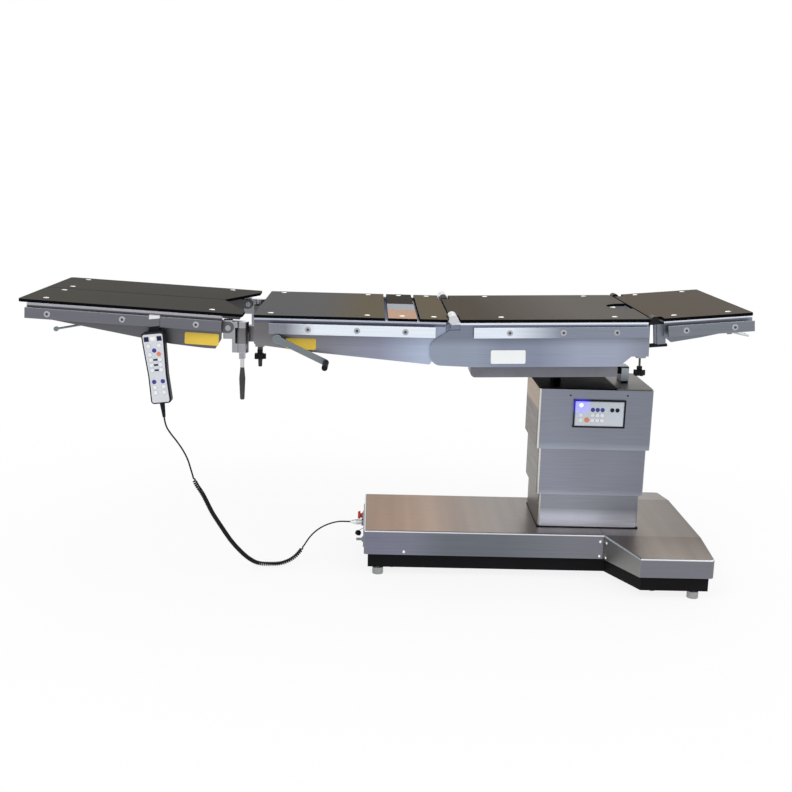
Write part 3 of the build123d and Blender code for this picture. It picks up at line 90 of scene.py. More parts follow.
# Fasteners, as places along the section and beside or above its middle
back_bolts = (149.5 * mm, 294 * mm, 438 * mm)
seat_bolts = (-390 * mm, -259 * mm, -129.5 * mm)
leg_bolts = (-475 * mm, -277 * mm, -82 * mm)
head_bolts = (78 * mm, 209 * mm)
bolt_radius = 8.5 * mm
bolt_side = 0.5 * mm
bolt_chamfer = 0.8 * mm
bolt_proud = 1.4 * mm
bolt_socket = 3.8 * mm
bolt_profile = ((bolt_radius, 0), (bolt_radius, bolt_side), (bolt_radius - bolt_chamfer, bolt_proud),
                (bolt_socket, bolt_proud), (bolt_socket, proud), (0, proud))
socket_ring = 3
stud_radius = 8 * mm
stud_height = 2.4 * mm
stud_shares = ((1, 0), (1, 0.5), (0.85, 0.85), (0.5, 1), (0.3, 1), (0.25, 0.7), (0, 0.7))
stud_sides = (-235 * mm, 235 * mm)
back_studs = (133 * mm, 444 * mm)
seat_studs = (-495 * mm, -233 * mm, -51 * mm)
bridge_studs = (-138 * mm,)
head_studs = (62 * mm, 210 * mm)
leg_studs = ((-497 * mm, 230 * mm), (-497 * mm, 45 * mm), (-50 * mm, 232 * mm))
cover_screws = ((-542 * mm, 75 * mm), (28 * mm, 118 * mm), (28 * mm, 74 * mm))
foot_screws = ((43 * mm, 118 * mm), (43 * mm, 74 * mm))
screw_radius = 4 * mm
screw_height = 1.6 * mm
screw_shares = ((1, 0), (1, 0.3), (0.8, 0.8), (0.4, 1), (0.35, 0.5), (0, 0.5))
far_away = 1.0
lathe_facets = 28
smooth_angle = 35

# Blank plates: left, right, high and low edge from the section's axis
maker_plate = (101 * mm, 195 * mm, -82 * mm, -119 * mm)
seat_plate = (-450 * mm, -369 * mm, -61 * mm, -91 * mm)
leg_plate = (-113 * mm, -22 * mm, -57 * mm, -89 * mm)
plate_thick = 0.8 * mm
plate_corner = 4 * mm
corner_steps = 5

# Control panel, from the column's middle and the floor
panel_left = -66 * mm
panel_right = 85 * mm
panel_low = 446 * mm
panel_high = 528 * mm
film_face = 135.5 * mm
bezel_width = 5 * mm
bezel_proud = 0.6 * mm
key_radius = 6.2 * mm
orange_radius = 7.44 * mm
key_height = 0.9 * mm
key_rim = 0.8 * mm
key_rim_height = 0.3 * mm
key_shares = ((1, 0), (1, 0.6), (0.85, 1), (0.5, 0.85), (0, 0.8))
key_facets = 20
blue_keys = ((-10 * mm, 499 * mm), (4 * mm, 499 * mm), (18 * mm, 499 * mm))
black_keys = ((46 * mm, 499 * mm), (61 * mm, 499 * mm))
pale_keys = ((-10 * mm, 483 * mm), (4 * mm, 483 * mm), (18 * mm, 483 * mm), (-10 * mm, 468 * mm),
             (4 * mm, 468 * mm), (18 * mm, 468 * mm), (-44 * mm, 483 * mm), (-44 * mm, 468 * mm))
orange_key = (-26 * mm, 469 * mm)
lamp_place = (-44 * mm, 512 * mm)
lamp_radius = 6 * mm
glow_reach = 34 * mm
panel_screw_share = 0.65
panel_screws = ((-75.5 * mm, 539 * mm), (89 * mm, 541 * mm))

# Handset, from the middle of its top edge; halves are half widths at shares of its length
handset_x = -191.4 * mm
handset_top = -16.8 * mm
handset_lean = -9.16
handset_face = 332.3 * mm
handset_length = 193 * mm
handset_halves = ((31 * mm, 0.0), (30 * mm, 0.18), (26 * mm, 0.6), (27.5 * mm, 1.0))
handset_margin = 4.5 * mm
film_thick = 0.7 * mm
film_sink = 0.05 * mm
film_corner = 5 * mm
handset_key = 5.8 * mm
handset_blue = ((0, -48 * mm), (-11 * mm, -132 * mm), (12 * mm, -132 * mm))
handset_orange = (11 * mm, -58 * mm)
handset_pale = ((-14 * mm, -36 * mm), (14 * mm, -36 * mm), (-13 * mm, -59 * mm), (-12 * mm, -73 * mm),
                (12 * mm, -73 * mm), (-12 * mm, -87 * mm), (12 * mm, -87 * mm), (-12 * mm, -101 * mm),
                (12 * mm, -101 * mm), (-11 * mm, -147 * mm), (12 * mm, -147 * mm), (-11 * mm, -162 * mm),
                (12 * mm, -162 * mm))
handset_squares = ((-17 * mm, -17 * mm), (17 * mm, -17 * mm))
square_half = (6.2 * mm, 6.2 * mm)
handset_bars = ((0, -73 * mm), (0, -87 * mm), (0, -101 * mm))
bar_half = (5.5 * mm, 2.4 * mm)
bar_height = 0.45 * mm
handset_window = (0, -17 * mm)
window_half = (7 * mm, 5 * mm)
tile_edge = 0.1 * mm
hook_start = 12 * mm
# Height above which the hook's strap carries a painted highlight
hook_crown = 32 * mm

# Base trim, from the column's middle and the floor
gasket_wide = 1.6 * mm
gasket_high = 3 * mm
seam_x = 37 * mm
seam_half = 0.5 * mm
seam_sink = 0.2 * mm
seam_proud = 0.15 * mm
seam_margin = 6 * mm
cap_place = (-676 * mm, -22 * mm, 76 * mm)
cap_radius = 9 * mm
cap_length = 14 * mm
cap_lean = 20
cap_shares = ((0, -0.5), (0.7, -0.5), (1, -0.35), (1, 0.2), (0.6, 0.45), (0, 0.5))
lanyard_radius = 0.8 * mm
lanyard = ((-661.5, -48, 100), (-667, -42, 94), (-672, -32, 88), (-674, -26, 84), (-676, -22, 80))
lanyard_steps = 8
stop_place = (panel_face, 60 * mm, 104 * mm)
stop_ring = ((16 * mm, 0), (16 * mm, 1.5 * mm), (13 * mm, 2.2 * mm), (11.2 * mm, 2.2 * mm), (11.2 * mm, 0))
socket_place = (panel_face, 10 * mm, 100 * mm)
connector_ring = ((9.05 * mm, 0), (9.7 * mm, 0.4 * mm), (9.7 * mm, 2 * mm), (9.05 * mm, 2.4 * mm))
connector_rings = (4 * mm, 9 * mm, 14 * mm, 19 * mm)

# Black shells on the head section's clamps, from its axis
shell_x = (-15.4 * mm, 35.4 * mm)
shell_y = (239.6 * mm, 262.4 * mm)
shell_z = (-75.4 * mm, -67.6 * mm)
shell_edge = 1.2 * mm
box_steps = 2

# Cord: its route's points from the column axis in thousandths, then its helix
wire_radius = 2.25 * mm
curl_reach = 4.25 * mm
curl_count = 88
curl_points = 8
curl_settle = 1.5
curl_ease_share = 2.0
cord_steps = 4
route_steps = 24
cord_facets = 2
cord_start = ((-1202.6, -318.3, 491.9), (-1200.1, -318.3, 470.0))
upper_route = ((-1187.0, -323.2, 450.0), (-1170.0, -324.0, 429.0), (-1152.0, -324.6, 403.0),
               (-1139.0, -324.0, 376.0), (-1132.5, -322.0, 351.0))
curl_route = ((-1122.0, -315.0, 308.0), (-1105.0, -305.0, 279.0), (-1093.0, -292.5, 247.0),
              (-1082.0, -278.0, 214.0), (-1067.0, -261.5, 181.0), (-1052.0, -242.5, 147.0),
              (-1037.0, -217.5, 111.0), (-1017.5, -189.0, 74.0), (-995.0, -156.0, 37.0),
              (-969.0, -131.0, 11.5), (-935.0, -120.0, 6.8), (-901.0, -116.0, 7.4),
              (-872.0, -105.5, 16.5), (-850.0, -92.5, 33.0))
lower_route = ((-821.0, -71.5, 76.0), (-801.0, -57.0, 93.0), (-777.0, -41.0, 103.5),
               (-752.0, -22.0, 107.0), (-731.0, -2.5, 104.5))
cord_end = ((-716.0, 10.0, 100.0), (-701.0, 10.0, 100.0))

# Stage, light and camera
floor_half = 12.0
floor_drop = 0.2 * mm
floor_white = 0.93
floor_shine = 0.86
floor_near = 0.9
floor_far = 2.2
world_white = 1.0
world_fill = 0.82
lamps = (("key", (-1.6, -2.6, 3.2), 1.8, 34.0), ("fill", (2.6, -1.8, 2.2), 2.2, 14.0),
         ("back", (0.4, 3.0, 2.6), 2.4, 14.0))
lamp_target = (0.0, 0.0, 0.55)
camera_place = (-656.6 * mm, -3274.6 * mm, 1187.3 * mm)
camera_yaw = 0.0255
camera_pitch = -0.2076
camera_roll = 0.0291
camera_lens = 51.11
camera_sensor = 36.0


# Places of the sections

def section(x, z, lean):
    return Matrix.Translation((x, column_y, z)) @ Matrix.Rotation(radians(lean), 4, "Y")


back_at = section(hinge_x, hinge_z, back_lean)
seat_at = section(hinge_x, hinge_z, 0)
leg_at = section(leg_x, leg_z, leg_lean)
head_at = section(head_x, head_z, head_lean)
base_at = section(column_x, 0, 0)
handset_at = (leg_at @ Matrix.Translation((handset_x, 0, handset_top))
              @ Matrix.Rotation(radians(handset_lean), 4, "Y"))


# Shader helpers

def inputs_of(made):
    return made.node_tree.nodes["Principled BSDF"].inputs


def material(name, colour, roughness, metallic=0.0, **sockets):
    """A new material with its shader set; the shader's sockets are named with underscores."""
    made = bpy.data.materials.new(name)
    made.use_nodes = True
    inputs_of(made)["Base Color"].default_value = (*colour, 1)
    inputs_of(made)["Roughness"].default_value = roughness
    inputs_of(made)["Metallic"].default_value = metallic
    for socket, value in sockets.items():
        inputs_of(made)[socket.replace("_", " ")].default_value = value
    return made


def node(made, kind, **settings):
    """A node with its settings and unlinked inputs."""
    new = made.node_tree.nodes.new("ShaderNode" + kind)
    for name, value in settings.items():
        if hasattr(new, name):
            setattr(new, name, value)
        else:
            new.inputs[name.replace("_", " ")].default_value = value
    return new


def link(made, source, target):
    made.node_tree.links.new(source, target)


def feed(made, source, name):
    """Links a value to a socket of the material's shader."""
    link(made, source, inputs_of(made)[name])


def combine(made, kind, operation, first, second, out="Value"):
    """The result of a math node from two sockets or fixed values."""
    new = node(made, kind, operation=operation)
    for socket, value in zip(new.inputs, (first, second)):
        if isinstance(value, bpy.types.NodeSocket):
            link(made, value, socket)
        else:
            socket.default_value = value
    return new.outputs[out]


def grain(made, stretch, scale, detail=6.0):
    """Noise in the object's own coordinates, stretched along the grain."""
    mapping = node(made, "Mapping", Scale=stretch)
    noise = node(made, "TexNoise", Scale=scale, Detail=detail)
    link(made, node(made, "TexCoord").outputs["Object"], mapping.inputs["Vector"])
    link(made, mapping.outputs["Vector"], noise.inputs["Vector"])
    return noise.outputs["Fac"]


def spread(made, source, low, high, out_low=0.0, out_high=1.0):
    """A value spread from one range to another."""
    ranged = node(made, "MapRange", From_Min=low, From_Max=high, To_Min=out_low, To_Max=out_high)
    link(made, source, ranged.inputs["Value"])
    return ranged.outputs["Result"]


def blend(made, share, first, second):
    """One colour or socket mixed into another by share."""
    mix = node(made, "Mix", data_type="RGBA")
    link(made, share, mix.inputs["Factor"])
    for socket, value in ((mix.inputs[6], first), (mix.inputs[7], second)):
        if isinstance(value, tuple):
            socket.default_value = (*value, 1)
        else:
            link(made, value, socket)
    return mix.outputs[2]


def bump(made, source, strength, distance):
    raised = node(made, "Bump", Strength=strength, Distance=distance)
    link(made, source, raised.inputs["Height"])
    feed(made, raised.outputs["Normal"], "Normal")


def facing_way(made, axis, start, end, first=0.0, last=1.0):
    """A value that follows how far a surface faces along an axis of the row frame."""
    split = node(made, "SeparateXYZ")
    link(made, node(made, "TexCoord").outputs["Normal"], split.inputs["Vector"])
    return spread(made, split.outputs[axis], start, end, first, last)


def least(made, first, second):
    return combine(made, "Math", "MINIMUM", first, second)


def local(made, place, axis):
    """A coordinate in a section's own frame."""
    along = place.to_3x3().col["XYZ".index(axis)].normalized()
    reach = combine(made, "VectorMath", "DOT_PRODUCT", node(made, "TexCoord").outputs["Object"], along)
    return combine(made, "Math", "SUBTRACT", reach, along.dot(place.translation))


def scaled(made, colour, factor):
    """A colour made lighter or darker by a value."""
    scale = node(made, "VectorMath", operation="SCALE")
    link(made, colour, scale.inputs[0])
    link(made, factor, scale.inputs["Scale"])
    return scale.outputs["Vector"]


def times(colour, factor):
    return tuple(min(1.0, c * factor) for c in colour)


def edge_share(made):
    """One along sharp edges, zero on flat stretches."""
    rounded = node(made, "Bevel", samples=edge_samples, Radius=edge_reach).outputs["Normal"]
    flat = node(made, "NewGeometry").outputs["Normal"]
    return spread(made, combine(made, "VectorMath", "DOT_PRODUCT", rounded, flat), *edge_turn, 1.0, 0.0)


def within(made, place, axis, low, high):
    """One between two values of a section's coordinate."""
    spot = local(made, place, axis)
    return least(made, spread(made, spot, low - band_fade, low + band_fade),
                 spread(made, spot, high - band_fade, high + band_fade, 1.0, 0.0))


def near_axis(made, x, z, start, end):
    """One up to a distance from a line that runs across the table at x and z, zero past another."""
    spot = node(made, "TexCoord").outputs["Object"]
    flat = combine(made, "VectorMath", "MULTIPLY", spot, (1, 0, 1), "Vector")
    return spread(made, combine(made, "VectorMath", "DISTANCE", flat, (x, 0, z)), start, end, 1.0, 0.0)


def seen_directly(made):
    """One for rays from the camera, also mirrored or through glass, zero for those that light."""
    path = node(made, "LightPath").outputs
    seen = combine(made, "Math", "MAXIMUM", path["Is Camera Ray"], path["Is Glossy Ray"])
    return combine(made, "Math", "MAXIMUM", seen, path["Is Transmission Ray"])


def masked(made, mask, colour, roughness, metallic):
    """Gives the masked stretch of a material another colour, roughness and metal share."""
    base = inputs_of(made)["Base Color"]
    link(made, blend(made, mask, base.links[0].from_socket, colour), base)
    for name, value in (("Roughness", roughness), ("Metallic", metallic)):
        socket = inputs_of(made)[name]
        mix = node(made, "Mix", data_type="FLOAT")
        if socket.is_linked:
            link(made, socket.links[0].from_socket, mix.inputs[2])
        else:
            mix.inputs[2].default_value = socket.default_value
        mix.inputs[3].default_value = value
        link(made, mask, mix.inputs["Factor"])
        link(made, mix.outputs[0], socket)


# Grain and other noise: how it is stretched along X, Y and Z, which part of its range counts, and its tones;
# the bands are painted reflections
grain_along_x = (6.0, 900.0, 900.0)
grain_round_column = (8.0, 8.0, 700.0)
grain_upright = (500.0, 500.0, 8.0)
grain_polished = (400.0, 400.0, 40.0)
grain_even = (500.0, 500.0, 500.0)
grain_plain = (1, 1, 1)
grain_clouds = (1.0, 0.35, 0.6)
grain_tones = (3.0, 3.0, 3.0)
# Stretch of the painted reflected bands across the base's top
reflection_band_stretch = (11.0, 0.4, 1.0)
grain_board = (1.5, 0.5, 1)
cloud_scale = 2.2
fine_range = (0.3, 0.7)
cloud_range = (0.35, 0.65)
wear_range = (0.35, 0.7)
# Range of the painted reflected bands across the base's top
reflection_band_range = (0.32, 0.68)
fine_tones = (0.9, 1.1)
cloud_tones = (0.93, 1.07)
# Tones of the painted reflected bands across the base's top
reflection_band_tones = (0.78, 1.25)
board_tones = (0.92, 1.1)
grain_depth = 0.05 * mm
plastic_depth = 0.04 * mm
film_depth = 0.02 * mm
skirt_depth = 0.2 * mm

# Edges and faces: what counts as an edge, which gets a painted highlight, and as facing left or up, which get
# painted tones of light and shade
edge_reach = 1.5 * mm
edge_samples = 4
edge_turn = (0.82, 0.99)
band_fade = 0.4 * mm
left_way = (-0.97, -0.8)
up_way = (0.9, 0.98)
board_way = (0.5, 0.9)
rim_fade = 0.1

# Where tones change, along X unless an axis is named: stretches of painted reflection with the tone past
# them, painted shading with its first and last factor, tone bands with their tone, the painted highlight
# and shadow under each board among them, and painted rim highlights with their tone
# Painted reflections on the steels, as stretches along each section with the tone past them
cover_reflections = ((-520 * mm, -420 * mm, (0.15, 0.165, 0.19)), (-260 * mm, -60 * mm, (0.195, 0.20, 0.225)))
back_reflections = ((60 * mm, 130 * mm, (0.25, 0.28, 0.37)), (230 * mm, 340 * mm, (0.35, 0.385, 0.49)),
              (440 * mm, 520 * mm, (0.27, 0.29, 0.355)))
seat_reflections = ((-420 * mm, -200 * mm, (0.26, 0.275, 0.36)), (-200 * mm, -80 * mm, (0.40, 0.46, 0.60)))
head_reflections = ((30 * mm, 34 * mm, (0.185, 0.20, 0.235)),)
back_rail_reflections = ((150 * mm, 290 * mm, (0.24, 0.265, 0.33)),)
seat_rail_reflections = ((-450 * mm, -370 * mm, (0.80, 0.86, 0.95)),)
# Painted light and shade on the shrouds: darker towards the head end, lighter at each shroud's foot, far
# lighter at the lower shroud's foot, and a painted highlight along the upper shroud's top edge
upper_painted_shading = (("X", -120 * mm, 150 * mm, 1.0, 0.8), ("Z", 384 * mm, 400 * mm, 1.3, 1.0),
                ("Z", 556 * mm, 561 * mm, 1.0, 1.4))
middle_painted_shading = (("X", -120 * mm, 150 * mm, 1.08, 0.82), ("Z", 244 * mm, 256 * mm, 1.25, 1.0))
lower_painted_shading = (("X", -60 * mm, 140 * mm, 1.05, 0.8), ("Z", 140 * mm, 196 * mm, 3.3, 0.95))
# Painted shadow on the back and seat plates just below their rails
back_painted_shading = (("Z", -72 * mm, -48 * mm, 1.0, 0.68),)
seat_painted_shading = (("Z", -85 * mm, -48 * mm, 1.1, 0.82),)
# A painted highlight along the leg frame's top edge under its board
leg_lip_highlight = (("Z", leg_rise - 14 * mm, leg_rise - 6 * mm, (0.42, 0.42, 0.46)),)
bridge_band = (("Y", -95 * mm, -45 * mm, (0.015, 0.015, 0.018)),)
# Painted highlights on the base covers' rounded upper edges and on the shrouds' corners towards the leg end
cover_rim_highlights = (("Z", 0.25, 0.93, (0.68, 0.69, 0.72)),)
corner_rim_highlight = (("X", -0.93, -0.45, (0.74, 0.73, 0.70)),)
# Depths of the painted highlight band under a board and of the painted shadow below it
lip_top = -7 * mm
lip_bottom = -13 * mm
lip_shadow = -20 * mm
# Where the painted reflections on the base's top turn from tan to grey, and where they grow lighter towards
# the near side
top_tan = (-560 * mm, -260 * mm)
top_grey = (-100 * mm, 180 * mm)
top_near = (-330 * mm, -180 * mm)
# Heights where the painted light on the upper shroud's leg side turns tan
side_tan = (486 * mm, 500 * mm)
lid_black = (56 * mm, 62 * mm)
post_side = (60 * mm, 64 * mm)
post_start = upper_top + 8 * mm
post_fade = 1 * mm
barrel_reach = 14 * mm
knuckle_x = (-20 * mm, 25 * mm)
knuckle_z = (-13 * mm, 30 * mm)
knob_high = 25 * mm
lever_split = 620.3 * mm
# Where the painted sheen on each board changes its tone
seat_change = (-380 * mm, -240 * mm)
back_change = (80 * mm, 360 * mm)
leg_change = (-450 * mm, 0)
head_change = (0, 260 * mm)
bridge_change = (-60 * mm, 0)
board_edge = (0.004, 0.004, 0.0055)
knuckle_black = (0.006, 0.006, 0.007)


# Kinds of material

def clouded(made, noise, colour):
    return blend(made, spread(made, noise, *cloud_range), *(times(colour, tone) for tone in cloud_tones))


def painted_facing_tone(colour):
    """A painted tone of light and shade for the faces that look one way, with faint clouds."""
    def tone(made):
        return clouded(made, grain(made, grain_tones, 1.0, 3.0), colour)
    return tone


def brushed(name, colour, roughness, stretch=grain_along_x, place=base_at, across=(), painted_shading=(), bands=(),
            left=None, top=None, rim_highlights=(), edge=1.6):
    """Brushed stainless steel with fine grain, broad clouds and a painted highlight along its edges.
    Across gives places where painted reflections change the tone, the shading entries where painted
    light and shade make it lighter or darker, the band entries its bands of another tone, painted
    highlight and shadow under the boards among them, left and top the painted tones of light and
    shade on the faces that look that way, the rim entries its painted highlights on rounded edges,
    and edge how far the painted highlight along its edges lightens it."""
    made = material(name, colour, roughness, 1.0)
    fine = grain(made, stretch, 1.0)
    tone = clouded(made, grain(made, grain_clouds, cloud_scale, 3.0), colour)
    # Painted reflections along the section, then painted light and shade, bands, facing tones and rim
    # highlights
    for start, end, other in across:
        tone = blend(made, spread(made, local(made, place, "X"), start, end), tone, other)
    for axis, start, end, first, last in painted_shading:
        tone = scaled(made, tone, spread(made, local(made, place, axis), start, end, first, last))
    for axis, low, high, other in bands:
        tone = blend(made, within(made, place, axis, low, high), tone, other)
    if left:
        tone = blend(made, facing_way(made, "X", *left_way, 1.0, 0.0), tone, left(made))
    if top:
        tone = blend(made, facing_way(made, "Z", *up_way), tone, top(made))
    for axis, low, high, other in rim_highlights:
        mask = least(made, facing_way(made, axis, low, low + rim_fade),
                     facing_way(made, axis, high - rim_fade, high, 1.0, 0.0))
        tone = blend(made, mask, tone, other)
    tone = scaled(made, tone, spread(made, fine, *fine_range, *fine_tones))
    # A painted highlight along the edges
    tone = scaled(made, tone, spread(made, edge_share(made), 0.0, 1.0, 1.0, edge))
    feed(made, tone, "Base Color")
    feed(made, spread(made, fine, *fine_range, roughness - 0.07, roughness + 0.1), "Roughness")
    bump(made, fine, 0.12, grain_depth)
    return made


def plastic(name, colour, roughness, texture=1400.0, depth=plastic_depth, metallic=0.0, gloss=0.5, wear=0.25):
    """Moulded plastic or paint with a fine grain and slight wear in its colour and gloss."""
    made = material(name, colour, roughness, metallic, Specular_IOR_Level=gloss)
    worn = grain(made, grain_plain, 18.0, 4.0)
    light = tuple(min(1.0, c * (1 + wear) + 0.004 * wear) for c in colour)
    feed(made, blend(made, spread(made, worn, *wear_range), colour, light), "Base Color")
    feed(made, spread(made, worn, *fine_range, roughness - 0.06, roughness + 0.1), "Roughness")
    bump(made, grain(made, grain_plain, texture, 3.0), 0.25, depth)
    return made


def laminate(name, first, second, place, change, axis="X"):
    """Board laminate: a brown black satin top with a painted sheen whose tone changes along the board, black
    edges.
    """
    made = material(name, first, 0.45, Specular_IOR_Level=0.003)
    fine = grain(made, grain_plain, 1600.0, 2.0)
    broad = grain(made, grain_board, 3.0, 3.0)
    tone = blend(made, spread(made, local(made, place, axis), *change), first, second)
    tone = scaled(made, tone, spread(made, broad, *cloud_range, *board_tones))
    tone = scaled(made, tone, spread(made, fine, *fine_range, *fine_tones))
    tone = blend(made, facing_way(made, "Z", *board_way), board_edge, tone)
    feed(made, tone, "Base Color")
    feed(made, spread(made, broad, *fine_range, 0.38, 0.52), "Roughness")
    bump(made, fine, 0.2, grain_depth)
    return made


# Steels with tones of their own

def cover_top_reflections(made):
    """The base's upper faces in painted reflections: tan towards the leg end, greyer by the column, lighter
    towards the near side, with reflected bands across.
    """
    along = local(made, base_at, "X")
    tone = blend(made, spread(made, along, *top_tan), (0.213, 0.125, 0.072), (0.169, 0.147, 0.134))
    tone = blend(made, spread(made, along, *top_grey), tone, (0.172, 0.146, 0.127))
    tone = scaled(made, tone, spread(made, local(made, base_at, "Y"), *top_near, 1.6, 1.0))
    return scaled(made, tone, spread(made, grain(made, reflection_band_stretch, 1.0, 3.0), *reflection_band_range, *reflection_band_tones))


def shroud_side_light(made):
    """The upper shroud's leg side in painted light and reflection: tan near its top, brown grey below."""
    high = spread(made, local(made, base_at, "Z"), *side_tan)
    return blend(made, high, (0.10, 0.076, 0.057), (0.33, 0.235, 0.155))


# Shroud steel with its painted shading, a painted tone on its leg-end faces and painted highlights on its
# corners towards the leg end
def shroud_steel(name, colour, painted_shading, left):
    return brushed(name, colour, 0.36, grain_round_column, painted_shading=painted_shading, left=left, rim_highlights=corner_rim_highlight)


def lip_light_and_shadow(rise, light, dark):
    """A painted highlight on the folded top edge under a board, and painted shadow below it."""
    bottom = rise + lip_bottom
    return ("Z", bottom, rise + lip_top, light), ("Z", rise + lip_shadow, bottom, dark)


def hinge_steel(name, colour, place, tones, bands, painted_shading=()):
    """Plate steel with bright barrels on the seat hinge and black knuckles on the head hinge."""
    made = brushed(name, colour, 0.34, place=place, across=tones, bands=bands, painted_shading=painted_shading)
    barrel = near_axis(made, hinge_x, hinge_z, barrel_reach, barrel_reach + proud)
    masked(made, barrel, (0.62, 0.63, 0.66), 0.18, 1.0)
    knuckle = least(made, within(made, head_at, "X", *knuckle_x), within(made, head_at, "Z", *knuckle_z))
    masked(made, knuckle, knuckle_black, 0.45, 0.0)
    inputs_of(made)["Specular IOR Level"].default_value = 0.2
    return made


def lid_material():
    """The column's lid: black under the carrier, brown grey towards the head end, with a steel post."""
    made = brushed("column lid", (0.115, 0.108, 0.10), 0.36)
    along = local(made, base_at, "X")
    masked(made, spread(made, along, *lid_black, 1.0, 0.0), (0.005, 0.005, 0.006), 0.5, 0.0)
    post = least(made, spread(made, along, *post_side),
                 spread(made, local(made, base_at, "Z"), post_start, post_start + post_fade))
    masked(made, post, (0.30, 0.325, 0.37), 0.3, 1.0)
    inputs_of(made)["Specular IOR Level"].default_value = 0.02
    return made


# Plastics with parts of their own

def lamp_glow():
    """A lit lens."""
    made = plastic("lamp blue", (0.50, 0.55, 1.0), 0.3)
    inputs_of(made)["Emission Color"].default_value = (0.42, 0.48, 1.0, 1.0)
    inputs_of(made)["Emission Strength"].default_value = 1.6
    return made


def lit_by_lamp(name, colour, lit, strength):
    """A surface of the control panel, lit blue round its lamp."""
    made = material(name, colour, 0.36, Specular_IOR_Level=0.15, Emission_Strength=strength)
    glow = near_axis(made, column_x + lamp_place[0], lamp_place[1], lamp_radius, glow_reach)
    feed(made, blend(made, glow, colour, lit), "Base Color")
    feed(made, blend(made, glow, (0.0, 0.0, 0.0), lit), "Emission Color")
    return made


def handset_shell():
    """The handset's black shell, with the steel strap of its hook and a painted highlight on the strap's
    crown.
    """
    made = plastic("handset shell", (0.005, 0.006, 0.012), 0.45, gloss=0.15)
    for start, colour in ((hook_start, (0.16, 0.16, 0.185)), (hook_crown, (0.80, 0.81, 0.84))):
        above = spread(made, local(made, handset_at, "Z"), start, start + proud)
        masked(made, above, colour, 0.28, 1.0)
    return made


def split_metal(name, low_part, start, high_colour, high_roughness):
    """A plastic that gives way to metal past a height."""
    made = plastic(name, low_part, 0.42, gloss=0.12)
    above = spread(made, local(made, base_at, "Z"), start, start + proud)
    masked(made, above, high_colour, high_roughness, 1.0)
    return made


# Materials
# Painted highlights on upper faces, bright and dull
top_highlight = painted_facing_tone((0.80, 0.83, 0.87))
dull_top_highlight = painted_facing_tone((0.42, 0.42, 0.46))
steel = brushed("plate steel", (0.24, 0.25, 0.28), 0.34)
# The base covers, with painted reflections along their fronts and on their tops, painted highlights on
# rounded edges and a painted tone of light on their leg-end faces
cover_steel = brushed("cover steel", (0.20, 0.205, 0.265), 0.33, across=cover_reflections, rim_highlights=cover_rim_highlights,
                      top=cover_top_reflections, left=painted_facing_tone((0.30, 0.29, 0.26)))
# One steel in three tones of painted light, each shroud with painted light and shade of its own and a painted
# tone on its leg-end faces
upper_steel = shroud_steel("upper shroud steel", (0.25, 0.27, 0.325), upper_painted_shading, shroud_side_light)
middle_steel = shroud_steel("middle shroud steel", (0.24, 0.25, 0.30), middle_painted_shading,
                            painted_facing_tone((0.163, 0.15, 0.124)))
lower_steel = shroud_steel("lower shroud steel", (0.26, 0.27, 0.31), lower_painted_shading,
                           painted_facing_tone((0.18, 0.16, 0.14)))
# The sections' plates, one steel in tones of painted light, with painted reflections along them, a painted
# highlight under each board with painted shadow below it, and on the back and seat painted shadow below the
# rails
back_steel = hinge_steel("back steel", (0.30, 0.34, 0.43), back_at, back_reflections,
                         lip_light_and_shadow(0, (0.80, 0.85, 0.92), (0.20, 0.22, 0.30)), back_painted_shading)
seat_steel = hinge_steel("seat steel", (0.20, 0.195, 0.205), seat_at, seat_reflections,
                         lip_light_and_shadow(0, (0.48, 0.51, 0.60), (0.12, 0.125, 0.17)), seat_painted_shading)
head_steel = hinge_steel("head steel", (0.21, 0.225, 0.265), head_at, head_reflections,
                         lip_light_and_shadow(head_rise, (0.80, 0.86, 0.95), (0.24, 0.25, 0.31)))
# The leg frame, darker, with a painted highlight under its board
leg_steel = brushed("leg steel", (0.125, 0.125, 0.135), 0.36, place=leg_at, bands=leg_lip_highlight)
# The rails, one steel in tones of painted reflection, with painted highlights on their upper faces and edges
back_rail_steel = brushed("back rail steel", (0.76, 0.82, 0.92), 0.26, place=back_at, across=back_rail_reflections,
                          top=top_highlight)
seat_rail_steel = brushed("seat rail steel", (0.24, 0.245, 0.29), 0.26, place=seat_at, across=seat_rail_reflections,
                          top=top_highlight)
head_rail_steel = brushed("head rail steel", (0.20, 0.215, 0.25), 0.28, top=top_highlight)
leg_rail_steel = brushed("leg rail steel", (0.16, 0.16, 0.185), 0.30, top=dull_top_highlight, edge=2.2)
# The bridge steel, with painted shade on its upper faces
bridge_steel = brushed("bridge steel", (0.26, 0.32, 0.38), 0.3, place=seat_at, bands=bridge_band,
                       top=painted_facing_tone((0.02, 0.05, 0.08)))
# The last number of these steels sets how bright their painted edge highlights are
crank_steel = brushed("crank steel", (0.20, 0.225, 0.25), 0.3, edge=2.4)
chrome = brushed("chrome", (0.50, 0.51, 0.54), 0.16, grain_polished, edge=1.3)
nickel = brushed("nickel", (0.80, 0.80, 0.79), 0.24, grain_even, edge=1.2)
bolt_metal = brushed("bolt metal", (0.42, 0.43, 0.46), 0.26, grain_even, edge=1.5)
